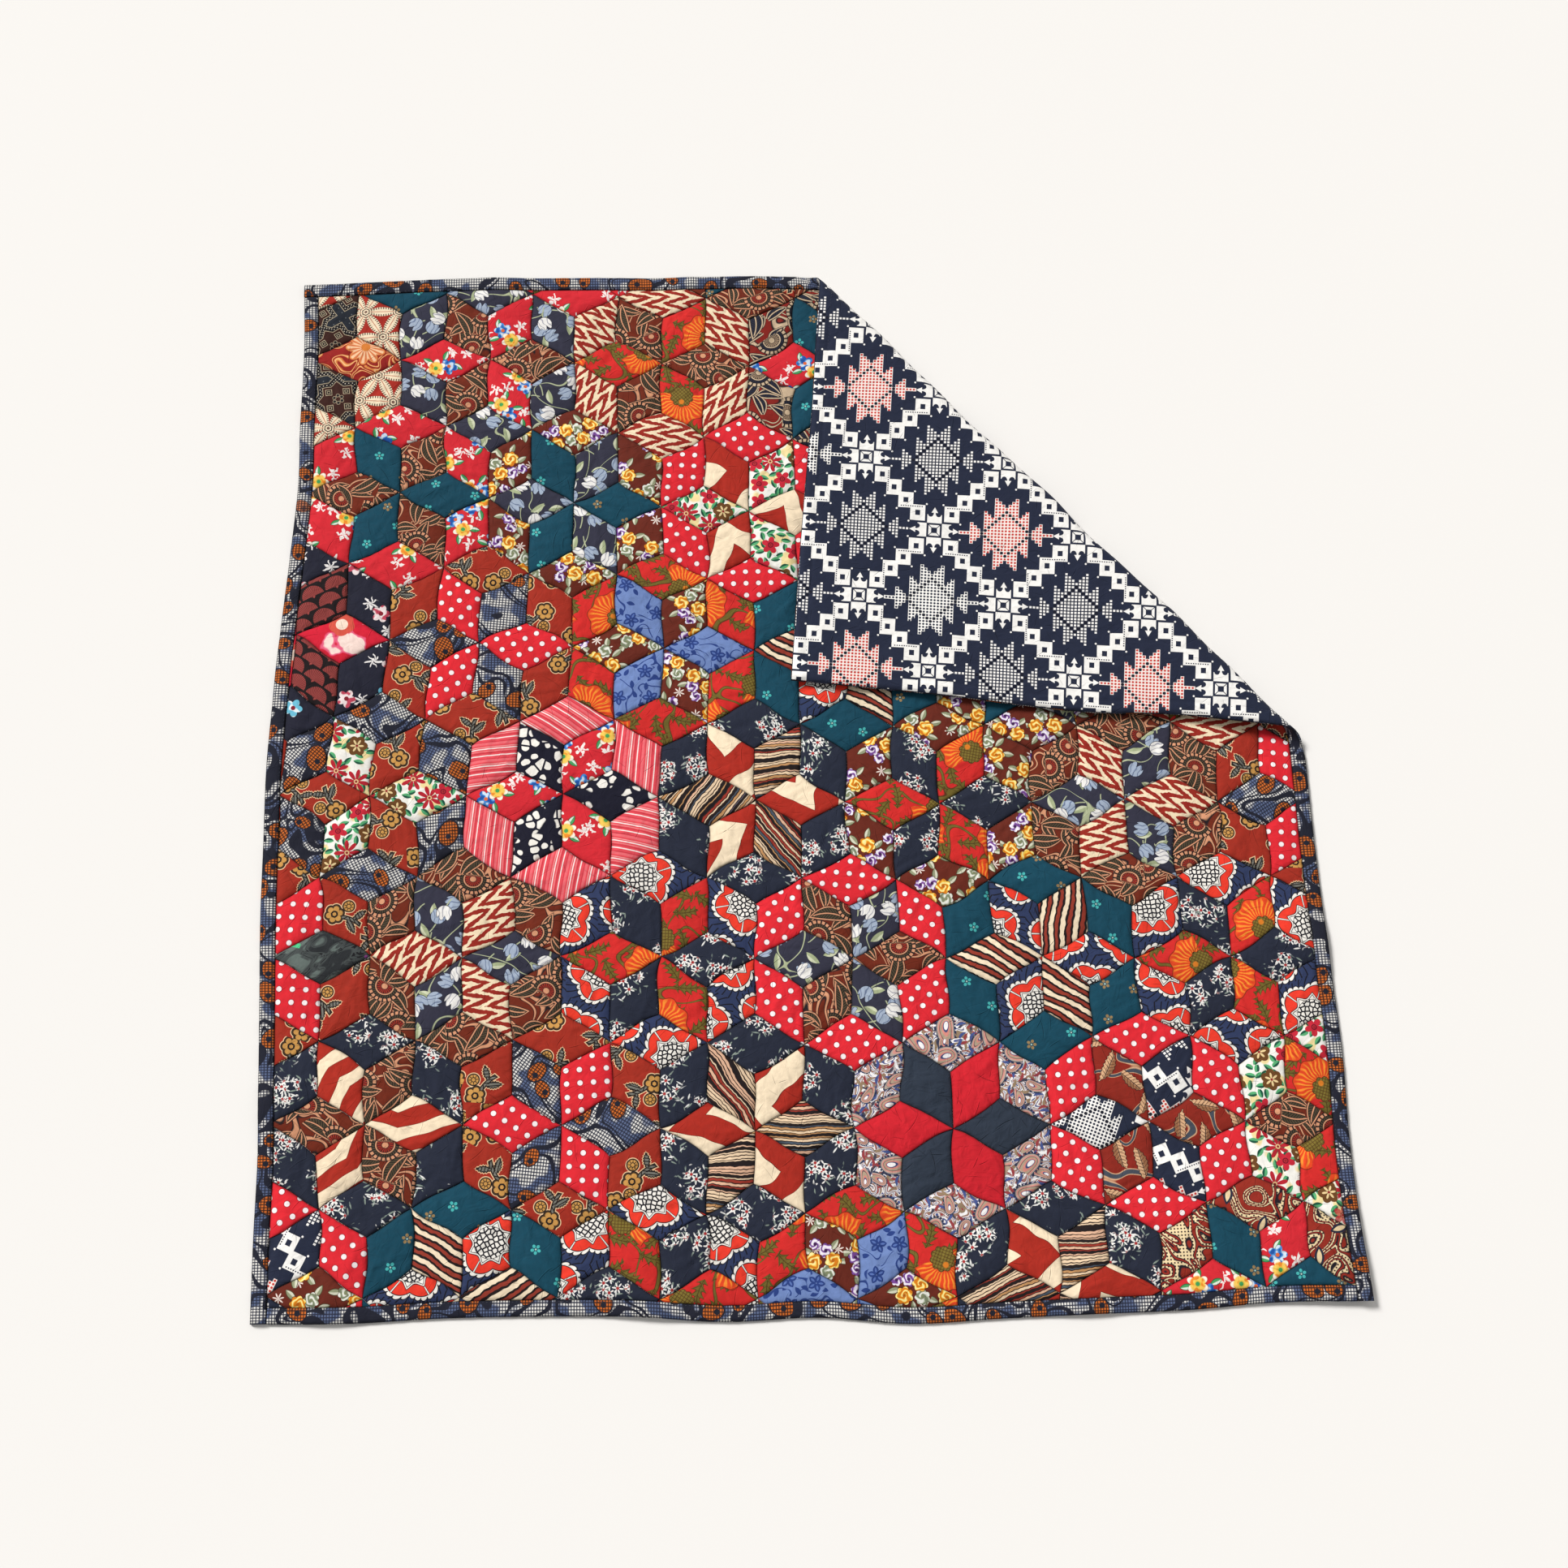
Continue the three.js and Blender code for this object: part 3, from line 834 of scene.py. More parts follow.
def place(u, v, seed):
    """The place on the cloth, moved so that each seed has a pattern of its own."""
    u, v = u + 137.7 * seed, v + 61.3 * seed
    return u, v, node_of("ShaderNodeCombineXYZ", [(0, u), (1, v)]).outputs[0]


def noise(u, v, pitch, seed, detail=0.0, bend=0.0):
    at = place(u, v, seed)[2]
    values = [("Vector", at), ("Scale", 1 / pitch), ("Detail", detail), ("Distortion", bend)]
    return Num(node_of("ShaderNodeTexNoise", values, noise_dimensions="2D").outputs[0])


Cell = namedtuple("Cell", "x y pick turn size")


def cells(at, pitch, jitter, feature):
    values = [("Vector", at), ("Scale", 1 / pitch), ("Randomness", jitter)]
    return node_of("ShaderNodeTexVoronoi", values, voronoi_dimensions="2D", feature=feature)


def scatter(u, v, pitch, jitter, seed):
    """The nearest of a scatter of points: the place from it, and three random numbers of its own."""
    u, v, at = place(u, v, seed)
    node = cells(at, pitch, jitter, "F1")
    point = node_of("ShaderNodeSeparateXYZ", [(0, node.outputs["Position"])])
    random = node_of("ShaderNodeSeparateColor", [(0, node.outputs["Color"])])
    x, y = u - Num(point.outputs[0]), v - Num(point.outputs[1])
    return Cell(x, y, *(Num(output) for output in random.outputs))


def sown(u, v, pitch, jitter, seed):
    """A scatter in which each motif is turned its own way."""
    cell = scatter(u, v, pitch, jitter, seed)
    x, y = turned(cell.x, cell.y, cell.turn * TURN)
    return cell._replace(x=x, y=y)


def gaps(u, v, pitch, jitter, seed):
    """The distance in mm from the borders of a scatter's cells."""
    return Num(cells(place(u, v, seed)[2], pitch, jitter, "DISTANCE_TO_EDGE").outputs["Distance"]) * pitch


def turned(x, y, turn):
    c, s = (cosine(turn), sine(turn)) if isinstance(turn, Num) else way_of(turn).tolist()
    return x * c + y * s, y * c - x * s


def fan(x, y, count):
    """Folds the plane round a point into one of equal sectors: the place along and across its middle."""
    r, a = reach(x, y), repeat(angle(x, y), TURN / count)
    return r * cosine(a), r * sine(a)


def petals(x, y, count, inner, outer):
    """How far out of a flower with round petals a point lies."""
    return reach(x, y) - abs(cosine(angle(x, y) * (count / 2))) * (outer - inner) - inner


def spikes(x, y, count, outer, thin):
    """How far out of a flower with thin petals a point lies."""
    return reach(x, y) - power(abs(cosine(angle(x, y) * (count / 2))), thin) * outer


def leaf(x, y, length, width):
    """How far out of a pointed leaf a point lies."""
    return abs(y) + x * x * (2 * width / length**2) - width / 2


def hexagons(u, v, pitch):
    """The place from the nearest point of a triangular lattice."""
    tall = pitch * math.sqrt(3)
    x1, y1 = repeat(u, pitch), repeat(v, tall)
    x2, y2 = repeat(u + pitch / 2, pitch), repeat(v + tall / 2, tall)
    first = calc("LESS_THAN", reach(x1, y1), reach(x2, y2))
    return mixed(x2, x1, first), mixed(y2, y1, first)


# inks and prints

BLACK = (30, 26, 30)
PRINTS = {}


def paint(colour):
    """The paint that shows as a screen colour in the scene's light; a colour from nodes stays as it is."""
    if not isinstance(colour, tuple):
        return colour
    return tuple(0.93 * ((c / 255 + 0.055) / 1.055) ** 2.4 for c in colour)


def blend(first, second, share):
    values = [(0, share), (6, paint(first)), (7, paint(second))]
    return node_of("ShaderNodeMix", values, data_type="RGBA").outputs[2]


class Print:
    """A printed cloth: a ground, and inks laid over it one by one."""

    def __init__(self, ground):
        self.colour = ground

    def lay(self, share, colour):
        self.colour = blend(self.colour, colour, share)

    def rings(self, away, *inks, soft=SOFT, shown=None):
        """Lays each ink where a distance is below the ink's edge, and where it is shown."""
        for edge, colour in inks:
            share = below(away, edge, soft)
            self.lay(share if shown is None else share * shown, colour)


def printed(*ground):
    """Keeps a function that lays inks on a ground of this colour as the print of its name."""
    def keep(draw):
        PRINTS[draw.__name__] = (ground, draw)
        return draw
    return keep


# the printed cloths, with sizes in mm


@printed(203, 34, 46)
def plain_red(cloth, u, v):
    """Bare cloth."""


@printed(47, 56, 70)
def plain_navy(cloth, u, v):
    """Bare cloth."""


@printed(222, 41, 52)
def red_dot(cloth, u, v):
    r = reach(repeat(u, 12.2), repeat(v, 12.2))
    cloth.rings(r, (3.0, (160, 30, 46)), (2.4, (250, 240, 240)))


@printed(21, 70, 89)
def teal(cloth, u, v):
    """Small flowers of five dots, far apart."""
    x, y, pick, *_ = sown(u, v, 33, 0.4, 1)
    p, q = fan(x, y, 5)
    cloth.rings(reach(p - 3.1, q * 1.15), (1.6, blend((74, 180, 178), (150, 124, 84), some(pick, 0.6))))
    cloth.rings(reach(x, y), (0.8, (176, 206, 196)))


@printed(38, 43, 59)
def navy_spray(cloth, u, v):
    """Sprays of short strokes, with small daisies in their middles."""
    bunch = scatter(u, v, 42, 0.5, 1)
    r = reach(bunch.x, bunch.y) + noise(u, v, 8, 2) * 14 - 7
    for seed, pitch, length, edge, share, colour in (
        (3, 6.4, 7.6, 17.5, 0.38, (138, 152, 142)), (4, 7.2, 7.2, 15.0, 0.45, (230, 230, 226)),
    ):
        x, y, pick, *_ = sown(u, v, pitch, 0.9, seed)
        cloth.rings(leaf(x, y, length, 1.4), (0, colour), shown=below(r, edge, 2) * some(pick, share))
    for seed, pitch, share in ((5, 9.8, 0.45), (6, 8.8, 0.28)):
        x, y, pick, *_ = sown(u, v, pitch, 0.75, seed)
        shown = below(r, 12, 2) * some(pick, share)
        cloth.rings(spikes(x, y, 6, 5.2, 2.2), (0, (240, 238, 233)), soft=0.4, shown=shown)
        cloth.rings(reach(x, y), (1.4, (168, 48, 50)), shown=shown)


@printed(52, 52, 68)
def navy_floral(cloth, u, v):
    """Thin vines with leaves, and blue and white bells on stalks."""
    sage = (178, 186, 150)
    u, v = u * 0.87, v * 0.87
    cloth.rings(abs(noise(u, v, 34, 1, 0, 0.5) - 0.5), (0.011, sage), soft=0.008)
    x, y, *_ = sown(u, v, 24, 0.7, 2)
    green = blend((164, 174, 136), (206, 211, 180), above(y, 0.3, 0.6))
    cloth.rings(leaf(x, y + x * x * 0.02, 14, 5.4), (0, green))
    for seed, pitch, light, dark in (
        (3, 24, (164, 178, 198), (104, 118, 148)), (5, 33, (238, 236, 232), (164, 164, 174)),
    ):
        x, y, *_ = sown(u, v, pitch, 0.6, seed)
        cup = most(reach(x * 1.1, y) - 6.6, y - 1.6 - abs(sine(x * 0.62 + 0.4)) * 3.8)
        streak = bars(x * 0.25 + y * 0.05 + noise(u, v, 6, 4), 0.1, 0.1)
        cloth.rings(most(abs(x + y * y * 0.03) - 0.55, abs(y + 10) - 6), (0, sage))
        cloth.rings(cup, (0.5, (36, 38, 54)), (0, blend(light, dark, streak)))


@printed(212, 42, 53)
def red_floral(cloth, u, v):
    """Bunches of a gold and a blue flower among leaves, with ragged white sprigs."""
    x, y, *_ = sown(u, v, 46, 0.45, 1)
    jag = noise(u, v, 3.2, 2) * 4.4 - 2.2
    for px, py in ((3, 17), (-17, -12), (20, -8)):
        cloth.rings(spikes(x - px + jag, y - py - jag, 5, 7.0, 1.4), (0, (246, 236, 232)), soft=0.8)
    for px, py, turn in ((13, 6, 0.6), (9, -11, -0.9), (-16, 5, 2.2), (-9, -10, 0.9)):
        p, q = turned(x - px, y - py, turn)
        green = blend((74, 158, 96), (226, 236, 222), above(q, 0.2, 0.6))
        cloth.rings(leaf(p, q, 12, 5.4), (0.3, (40, 84, 52)), (-0.4, green))
    cloud = noise(u, v, 5, 6)
    blue = blend((70, 140, 214), (34, 86, 168), above(cloud, 0.58, 0.1))
    blue = blend(blue, (214, 230, 246), below(cloud, 0.42, 0.1))
    cloth.rings(petals(x + 8, y - 2, 5, 5.2, 8.8), (0.3, (44, 60, 110)), (0, blue))
    cloth.rings(reach(x + 8, y - 2), (1.8, (226, 110, 60)))
    x, y = x - 5, y + 1
    r = reach(x, y)
    gold = blend((250, 206, 96), (238, 142, 44), above(cloud, 0.55, 0.12))
    gold = blend(gold, (254, 246, 230), above(r, 7.2, 1.4))
    cloth.rings(petals(x, y, 6, 6.0, 10), (0.3, (150, 70, 30)), (0, gold))
    cloth.rings(r, (3.0, (226, 196, 70)), soft=0.8)
    cloth.rings(r, (2.0, (70, 160, 90)))


def paisley(cloth, u, v, line, fill, core, seed):
    """Shells and long curved leaves in bands and ticks, with stems between them."""
    stem = noise(u, v, 38, seed, 0, 0.5)
    for level in (0.42, 0.56):
        cloth.rings(abs(stem - level), (0.034, BLACK), (0.02, line), soft=0.01)
    for offset, pitch, length, width in ((3, 25, 27, 9.5), (1, 33, 38, 12.5)):
        x, y, *_ = sown(u, v, pitch, 0.6, seed + offset)
        bend = y + x * x * (0.53 / length) - 1
        out = leaf(x, bend, length, width)
        hatched = blend(fill, BLACK, bars(x * 0.36 + abs(bend) * 0.3, 0.15, 0.1))
        cloth.rings(out, (1.5, BLACK), (0.8, line), (-0.4, BLACK), (-1.0, hatched))
        cloth.rings(abs(bend), (1.1, BLACK), (0.6, line), shown=below(out, -1.6))
    x, y, *_ = sown(u, v, 43, 0.5, seed + 2)
    r, a = reach(x, y * 1.1), angle(x, y)
    tick = bars(a * (10 / math.pi), 0.17, 0.1)
    fine = bars(a * (15 / math.pi) + r * 0.12, 0.2, 0.12)
    for edge, colour in (
        (17.0, BLACK), (16.3, blend(line, BLACK, tick)), (13.2, BLACK), (12.5, blend(fill, BLACK, fine)),
        (10.0, BLACK), (9.4, line), (8.2, BLACK), (7.6, blend(core, BLACK, tick)), (3.6, BLACK), (3.0, line),
    ):
        cloth.rings(most(r - edge, -2 - 0.15 * edge - y), (0, colour))


@printed(112, 42, 25)
def brown_paisley(cloth, u, v):
    paisley(cloth, u * 1.06, v * 1.06, (214, 152, 116), (78, 68, 50), (158, 50, 36), 1)


@printed(132, 34, 27)
def cream_paisley(cloth, u, v):
    paisley(cloth, u, v, (202, 178, 148), (36, 40, 58), (156, 132, 108), 7)


@printed(208, 43, 41)
def poppy(cloth, u, v):
    """Olive vines with jagged leaves, and large orange blooms with rays and a netted cone."""
    olive, dark = (112, 98, 42), (84, 50, 26)
    cloth.rings(abs(noise(u, v, 40, 1, 0, 0.4) - 0.5), (0.032, dark), (0.021, olive), soft=0.008)
    x, y, pick, *_ = sown(u, v, 24, 0.6, 2)
    bend = y + x * x * 0.014
    out = leaf(x, bend, 33, 13) + abs(sine(x * 0.55 + abs(bend) * 0.34)) * 4.2
    rib = most(bars((x + abs(bend) * 0.9) * 0.22, 0.07, 0.06), below(abs(bend), 0.4))
    cloth.rings(out, (0.8, dark), (0, blend(olive, (78, 60, 26), rib)), shown=some(pick, 0.1))
    x, y, *_ = sown(u, v, 68, 0.4, 3)
    r, a = reach(x, y), angle(x, y)
    ray = above(sine(a * 30 + noise(u, v, 8, 4) * 5), 0.3, 0.5) * near(r, 17, 7.5, 5)
    orange = blend((226, 72, 34), (246, 146, 50), ray)
    cloth.rings(r - sine(a * 9) * 1.5, (26.9, (140, 44, 24)), (26, orange), shown=above(x, -6, 1))
    net = most(bars((x + y) * 0.25, 0.1, 0.1), bars((x - y) * 0.25, 0.1, 0.1))
    cone = blend((126, 110, 48), (84, 60, 26), net)
    cloth.rings(petals(x + 3, y, 10, 9.6, 11.2), (0.7, dark), (0, cone))
    cloth.rings(reach(x - 3, y), (2.6, (222, 128, 40)), soft=1)


@printed(243, 223, 189)
def zigzag(cloth, u, v):
    climb = to_and_fro(u + noise(u, v, 7, 1) * 1.8, 7.4) / 7.4
    ragged = noise(u, v, 40, 2) * 9 + noise(u, v, 2.6, 3) * 4
    away = abs(fract((v + climb * 24 + ragged) / 23) - 0.5)
    cloth.rings(away + abs(climb - 0.5) * 0.26, (0.345, (152, 42, 32)), soft=0.03)


@printed(103, 40, 28)
def brown_rose(cloth, u, v):
    """Bunches of gold, pale and purple roses among sage leaves, with small sprigs between them."""
    x, y, pick, *_ = sown(u, v, 19, 0.8, 2)
    cloth.rings(spikes(x, y, 7, 5.2, 2.0), (0, (240, 224, 214)), soft=0.6, shown=some(pick, 0.55))
    x, y, *_ = sown(u, v, 41, 0.4, 3)
    for px, py, turn in (
        (-16, -9, 0.6), (-1, -16, 1.5), (17, 1, 0.2), (0, 17, 1.7), (-14, 15, 2.4), (14, 15, 0.8),
    ):
        p, q = turned(x - px, y - py, turn)
        sage = blend((146, 152, 120), (214, 214, 192), above(q, 0.2, 0.8))
        cloth.rings(leaf(p, q, 13, 5.4), (0.4, (76, 66, 44)), (-0.3, sage))
    cloud = noise(u, v, 5, 4) * 6
    gold = ((248, 200, 78), (216, 124, 26), (254, 238, 160), (190, 104, 24))
    pale = ((196, 202, 180), (126, 136, 108), (240, 240, 232), (132, 138, 104))
    purple = ((216, 198, 228), (118, 70, 148), (246, 242, 248), (70, 36, 86))
    for px, py, size, (tint, dark, light, heart) in (
        (-8, 8, 7.0, pale), (14, -8, 5.4, purple), (3, -8, 6.6, purple), (8, 6, 8.0, gold),
        (-7, -4, 7.4, gold),
    ):
        p, q = x - px, y - py
        swirl = sine(reach(p, q) * 1.3 + angle(p, q) * 2 + cloud)
        rose = blend(blend(tint, dark, above(swirl, 0.25, 0.5)), light, below(swirl, -0.6, 0.4))
        cloth.rings(petals(p, q, 7, size * 0.78, size), (0.5, (72, 36, 22)), (0, rose))
        cloth.rings(reach(p, q), (1.6, heart), soft=0.6)


@printed(243, 241, 234)
def white_floral(cloth, u, v):
    """Red stars, brown rounds and red daisies over many green leaves."""
    cloth.lay(above(noise(u, v, 14, 1), 0.62, 0.1), (240, 220, 160))
    x, y, pick, *_ = sown(u, v, 8.6, 0.75, 2)
    green = blend((88, 172, 116), (26, 84, 64), above(y, 0.2, 0.5))
    cloth.rings(leaf(x, y, 10.5, 4.8), (0, green), shown=some(pick, 0.15))
    x, y, pick, *_ = sown(u, v, 24, 0.5, 3)
    r = reach(x, y)
    star, round_one, daisy = below(pick, 0.38, 0.01), near(pick, 0.52, 0.14, 0.01), some(pick, 0.66)
    cloth.rings(petals(x, y, 5, 4.6, 9), (0, (198, 40, 58)), shown=star)
    cloth.rings(abs(r - 2.2), (0.5, (110, 22, 36)), shown=star)
    brown = blend((108, 70, 36), (232, 206, 152), below(spikes(x, y, 6, 6.4, 1.6), 0))
    cloth.rings(petals(x, y, 6, 8, 10.2), (0, brown), shown=round_one)
    cloth.rings(spikes(x, y, 8, 12, 0.7), (0, (182, 36, 50)), shown=daisy)
    cloth.rings(r, (2.2, (236, 202, 146)), shown=daisy)
    cloth.rings(r, (1.2, (146, 38, 42)))


@printed(246, 226, 195)
def cream_red(cloth, u, v):
    sweep = to_and_fro(u + noise(u, v, 40, 2) * 16, 33) * 1.25
    shape = fract((v + sweep + noise(u, v, 18, 1) * 7) / 66)
    cloth.rings(shape, (0.55, (92, 30, 24)), soft=0.006)
    cloth.rings(shape, (0.54, (170, 44, 32)), soft=0.006, shown=above(shape, 0.01, 0.006))


@printed(246, 226, 195)
def rust_stripe(cloth, u, v):
    stripe = fract((v + noise(u, v, 24, 1) * 5 + to_and_fro(u, 60) * 0.3) / 26)
    cloth.rings(stripe, (0.56, (108, 32, 25)), soft=0.02)
    cloth.rings(abs(stripe - 0.28), (0.262, (170, 45, 32)), soft=0.02)


@printed(212, 33, 56)
def red_ikat(cloth, u, v):
    """Pale blots and specks, and large rounds with a pale middle."""
    blot = noise(u, v, 36, 1, 2.5)
    cloth.lay(above(blot, 0.6, 0.02), (232, 98, 132))
    cloth.lay(above(blot, 0.635, 0.02), (248, 222, 212))
    x, y, *_ = scatter(u, v, 56, 0.3, 2)
    cloth.rings(petals(x, y, 5, 11, 12.5), (0, (214, 86, 70)))
    cloth.rings(reach(x, y), (5.8, (246, 222, 204)))
    x, y, *_ = scatter(u, v, 23, 0.8, 3)
    cloth.rings(reach(x, y), (1.5, (246, 220, 220)), shown=below(blot, 0.5, 0.02))


@printed(158, 72, 68)
def red_scale(cloth, u, v):
    """Rows of scales with rays, each row half a scale along."""
    size, dark = 13.4, (32, 24, 26)
    row = rounded_down(v / 13)
    x, y = repeat(u + remainder(row, 2) * 12, 24), v - row * 13
    low = repeat(x + 12, 24)
    first, second = reach(x, y), reach(low, y + 13)
    a = mixed(angle(x, y + 6), angle(low, y + 19), above(first, size, 0.1))
    cloth.lay(bars(a * 9, 0.2, 0.1), (96, 36, 38))
    cloth.rings(abs(first - size), (2.5, dark))
    cloth.rings(abs(second - size), (2.5, dark), shown=above(first, size))


@printed(36, 37, 52)
def navy_multi(cloth, u, v):
    """White sprigs, and blue and pink flowers."""
    x, y, *_ = sown(u, v, 33, 0.7, 1)
    cloth.rings(spikes(x + noise(u, v, 4, 2) * 5 - 2.5, y, 7, 7.5, 1.7), (0, (238, 234, 232)), soft=0.7)
    x, y, pick, *_ = sown(u, v, 44, 0.5, 3)
    cloud = noise(u, v, 6, 4)
    blue = blend((108, 188, 214), (232, 242, 246), above(cloud, 0.57, 0.12))
    pink = blend((240, 224, 224), (196, 70, 92), above(cloud, 0.55, 0.12))
    cloth.rings(petals(x, y, 5, 5.6, 9), (0, blend(blue, pink, some(pick, 0.5))))
    cloth.rings(reach(x, y), (2.2, (134, 34, 48)))


@printed(43, 47, 66)
def navy_grid(cloth, u, v):
    """A fine grid of pale squares, with dark sweeps and orange drops over it."""
    dark = (33, 34, 46)
    square = bars(u / 2.5, 0.32, 0.16) * bars(v / 3.0, 0.33, 0.14)
    cloth.lay(square, blend((92, 106, 140), (230, 228, 222), above(noise(u, v, 19, 1, 1), 0.49, 0.1)))
    sweep = noise(u, v, 40, 2, 0, 0.8)
    cloth.lay(most(near(sweep, 0.43, 0.055, 0.01), near(sweep, 0.6, 0.03, 0.01)), (33, 35, 48))
    x, y, pick, _, size = sown(u, v, 31, 0.7, 3)
    shown = some(pick, 0.22)
    orange = blend((66, 36, 26), (206, 108, 44), square)
    cloth.rings(reach(x, y * 1.4) * (1.3 - size * 0.5), (11.2, dark), (9.8, orange), shown=shown)
    cloth.rings(reach(x - 3.4, y - 1), (2.6, dark), shown=shown)


@printed(160, 46, 32)
def rust_floral(cloth, u, v):
    """Stems with a flower, a bud and two jagged leaves, edged in cream and black."""
    cream, dark, grey, tan = (236, 198, 154), (34, 26, 26), (118, 118, 110), (202, 150, 80)
    x, y, *_ = sown(u, v, 41, 0.4, 1)
    twig = most(abs(x + y * y * 0.014) - 1.0, abs(y) - 12)
    arm = leaf(*turned(x + 6, y + 5, 0.8), 15, 5.6) + abs(sine(x * 0.9 + y * 0.9)) * 0.9
    other = leaf(*turned(x - 6, y + 9, -0.6), 14, 5.2) + abs(sine(x * 0.9 - y * 0.9)) * 0.9
    green = least(twig, least(arm, other))
    p, q = fan(x, y - 13, 6)
    petal, eye = reach(p - 5.2, q), reach(x, y - 13)
    bloom = least(petal - 3.4, eye - 3)
    s, t = fan(x - 11, y - 3, 8)
    bud = reach(s, t)
    flowers = least(bloom, bud - 4.6)
    cloth.rings(least(green, flowers), (2.0, cream), (1.2, dark))
    cloth.rings(green, (0, blend(grey, dark, bars((x + abs(y)) * 0.25, 0.17, 0.1))))
    cloth.rings(flowers, (0, tan))
    cloth.rings(abs(petal - 3.1), (0.5, dark), shown=below(bloom, 0))
    cloth.rings(abs(eye - 2.8), (0.5, dark))
    cloth.rings(abs(bud - 2), (0.4, dark))
    cloth.rings(abs(t), (0.35, dark), shown=near(s, 3.4, 1))


@printed(112, 136, 190)
def blue_vine(cloth, u, v):
    """Dark vines, leaves and flowers with five petals."""
    dark = (42, 64, 128)
    cloth.rings(abs(noise(u, v, 22, 1, 0, 0.6) - 0.5), (0.026, dark), soft=0.014)
    x, y, pick, *_ = sown(u, v, 10, 0.75, 2)
    cloth.rings(leaf(x, y, 8.5, 4.2), (0, dark), shown=some(pick, 0.48))
    x, y, *_ = sown(u, v, 26, 0.5, 3)
    cloth.rings(reach(x, y), (8.5, (112, 136, 190)), soft=1)
    x, y = fan(x, y, 5)
    cloth.rings(leaf(x - 4.2, y, 7.8, 5.2), (0, dark))
    cloth.rings(leaf(x - 4.2, y, 4.6, 1.8), (0, (88, 114, 178)))


@printed(48, 59, 93)
def medallion(cloth, u, v):
    """Lobed orange rounds with a feathered white edge and a white core of small cells."""
    orange, line, pale = (232, 60, 43), (26, 26, 36), (240, 236, 228)
    x, y = hexagons(u, v, 68)
    r, a = reach(x, y), angle(x, y)
    lobe = r - abs(cosine(a * 2.5)) * 6
    quill = abs(sine(a * 15 + r * 0.25))
    cloth.rings(lobe - quill * 1.8, (25.6, line), (24.6, pale))
    cloth.rings(quill, (0.3, line), soft=0.1, shown=above(lobe, 23.9))
    cloth.rings(lobe, (23.2, line), (22.3, orange))
    cloth.rings(abs(sine(a * 2.5)), (0.1, line), (0.05, pale), soft=0.03, shown=below(lobe, 22.7))
    rim = r - (1 - abs(sine(a * 4))) * 5.2
    cloth.rings(rim, (16.1, line), (15.2, pale))
    cloth.rings(abs(rim - 13.4), (0.45, line))
    cloth.rings(r, (14.4, line))
    cloth.rings(r, (13.9, pale), shown=above(gaps(u, v, 4.3, 0.6, 1), 0.66, 0.3))


@printed(243, 224, 194)
def tri_stripe(cloth, u, v):
    stripe = fract((v + noise(u, v, 34, 1) * 7 + noise(u, v, 5, 2) * 1.6) / 10.6)
    cloth.lay(above(stripe, 0.37, 0.03), (33, 25, 26))
    cloth.rings(abs(stripe - 0.69), (0.14, (150, 58, 44)), soft=0.03)


@printed(234, 206, 172)
def multi_stripe(cloth, u, v):
    w = v + noise(u, v, 30, 1) * 6 + noise(u, v, 4, 2) * 1.2
    stripe = node_of("ShaderNodeTexWhiteNoise", [("W", rounded_down(w / 2.8))], noise_dimensions="1D")
    pick = Num(stripe.outputs[0])
    for edge, colour in (
        (0.3, (192, 144, 96)), (0.42, (224, 180, 150)), (0.58, (154, 54, 42)), (0.78, (72, 84, 98)),
        (0.86, BLACK),
    ):
        cloth.lay(above(pick, edge, 0.001), colour)
    cloth.lay(bars(w / 2.8 + 0.5, 0.15, 0.06), (48, 33, 30))
    cloth.lay(bars(w / 11.2, 0.13, 0.04), (36, 28, 28))


@printed(27, 27, 43)
def black_batik(cloth, u, v):
    """Clusters of uneven white blobs."""
    bunch = scatter(u, v, 45, 0.4, 1)
    r = reach(bunch.x, bunch.y) + noise(u, v, 12, 2) * 8 - 4
    blob = sown(u, v, 11, 0.9, 3)
    egg = reach(blob.x, blob.y * 1.25) + noise(u, v, 5, 4) * 2.4 - blob.size * 4
    apart = above(gaps(u, v, 11, 0.9, 3), 0.9, 0.3)
    cloth.rings(egg, (4.0, (242, 238, 230)), shown=apart * below(r, 22.5, 1))


@printed(228, 78, 89)
def pink_stripe(cloth, u, v):
    w = remainder(v + noise(u, v, 70, 1) * 5, 16.4)
    for middle, half, colour in (
        (13.6, 1.1, (236, 108, 116)), (2.2, 0.5, (250, 236, 232)), (8.6, 0.5, (250, 236, 232)),
        (10.4, 0.32, (242, 172, 170)), (4.7, 0.4, (200, 52, 66)), (6.4, 0.3, (240, 150, 150)),
        (15.4, 0.3, (202, 54, 70)),
    ):
        cloth.lay(near(w, middle, half), colour)


@printed(72, 78, 78)
def grey_streak(cloth, u, v):
    """A streaky wash with a few coloured spots."""
    wash = noise(u * 0.45, v, 17, 1, 2.5, 1.2)
    cloth.rings(wash, (0.46, (44, 47, 50)), soft=0.05)
    cloth.lay(above(wash, 0.58, 0.03), (100, 112, 108))
    cloth.lay(near(wash, 0.52, 0.008, 0.006), (28, 28, 32))
    spot = scatter(u, v, 46, 0.6, 2)
    x, y = turned(spot.x, spot.y, 0.8)
    cloth.rings(most(abs(x) - 2.2, abs(y) - 8), (0, (80, 196, 136)), shown=some(spot.pick, 0.4))
    cloth.rings(reach(x - 14, y + noise(u, v, 3, 3) * 4), (2.4, (158, 48, 46)))
    cloth.rings(reach(x - 9, y - 9), (1.6, (128, 62, 128)))


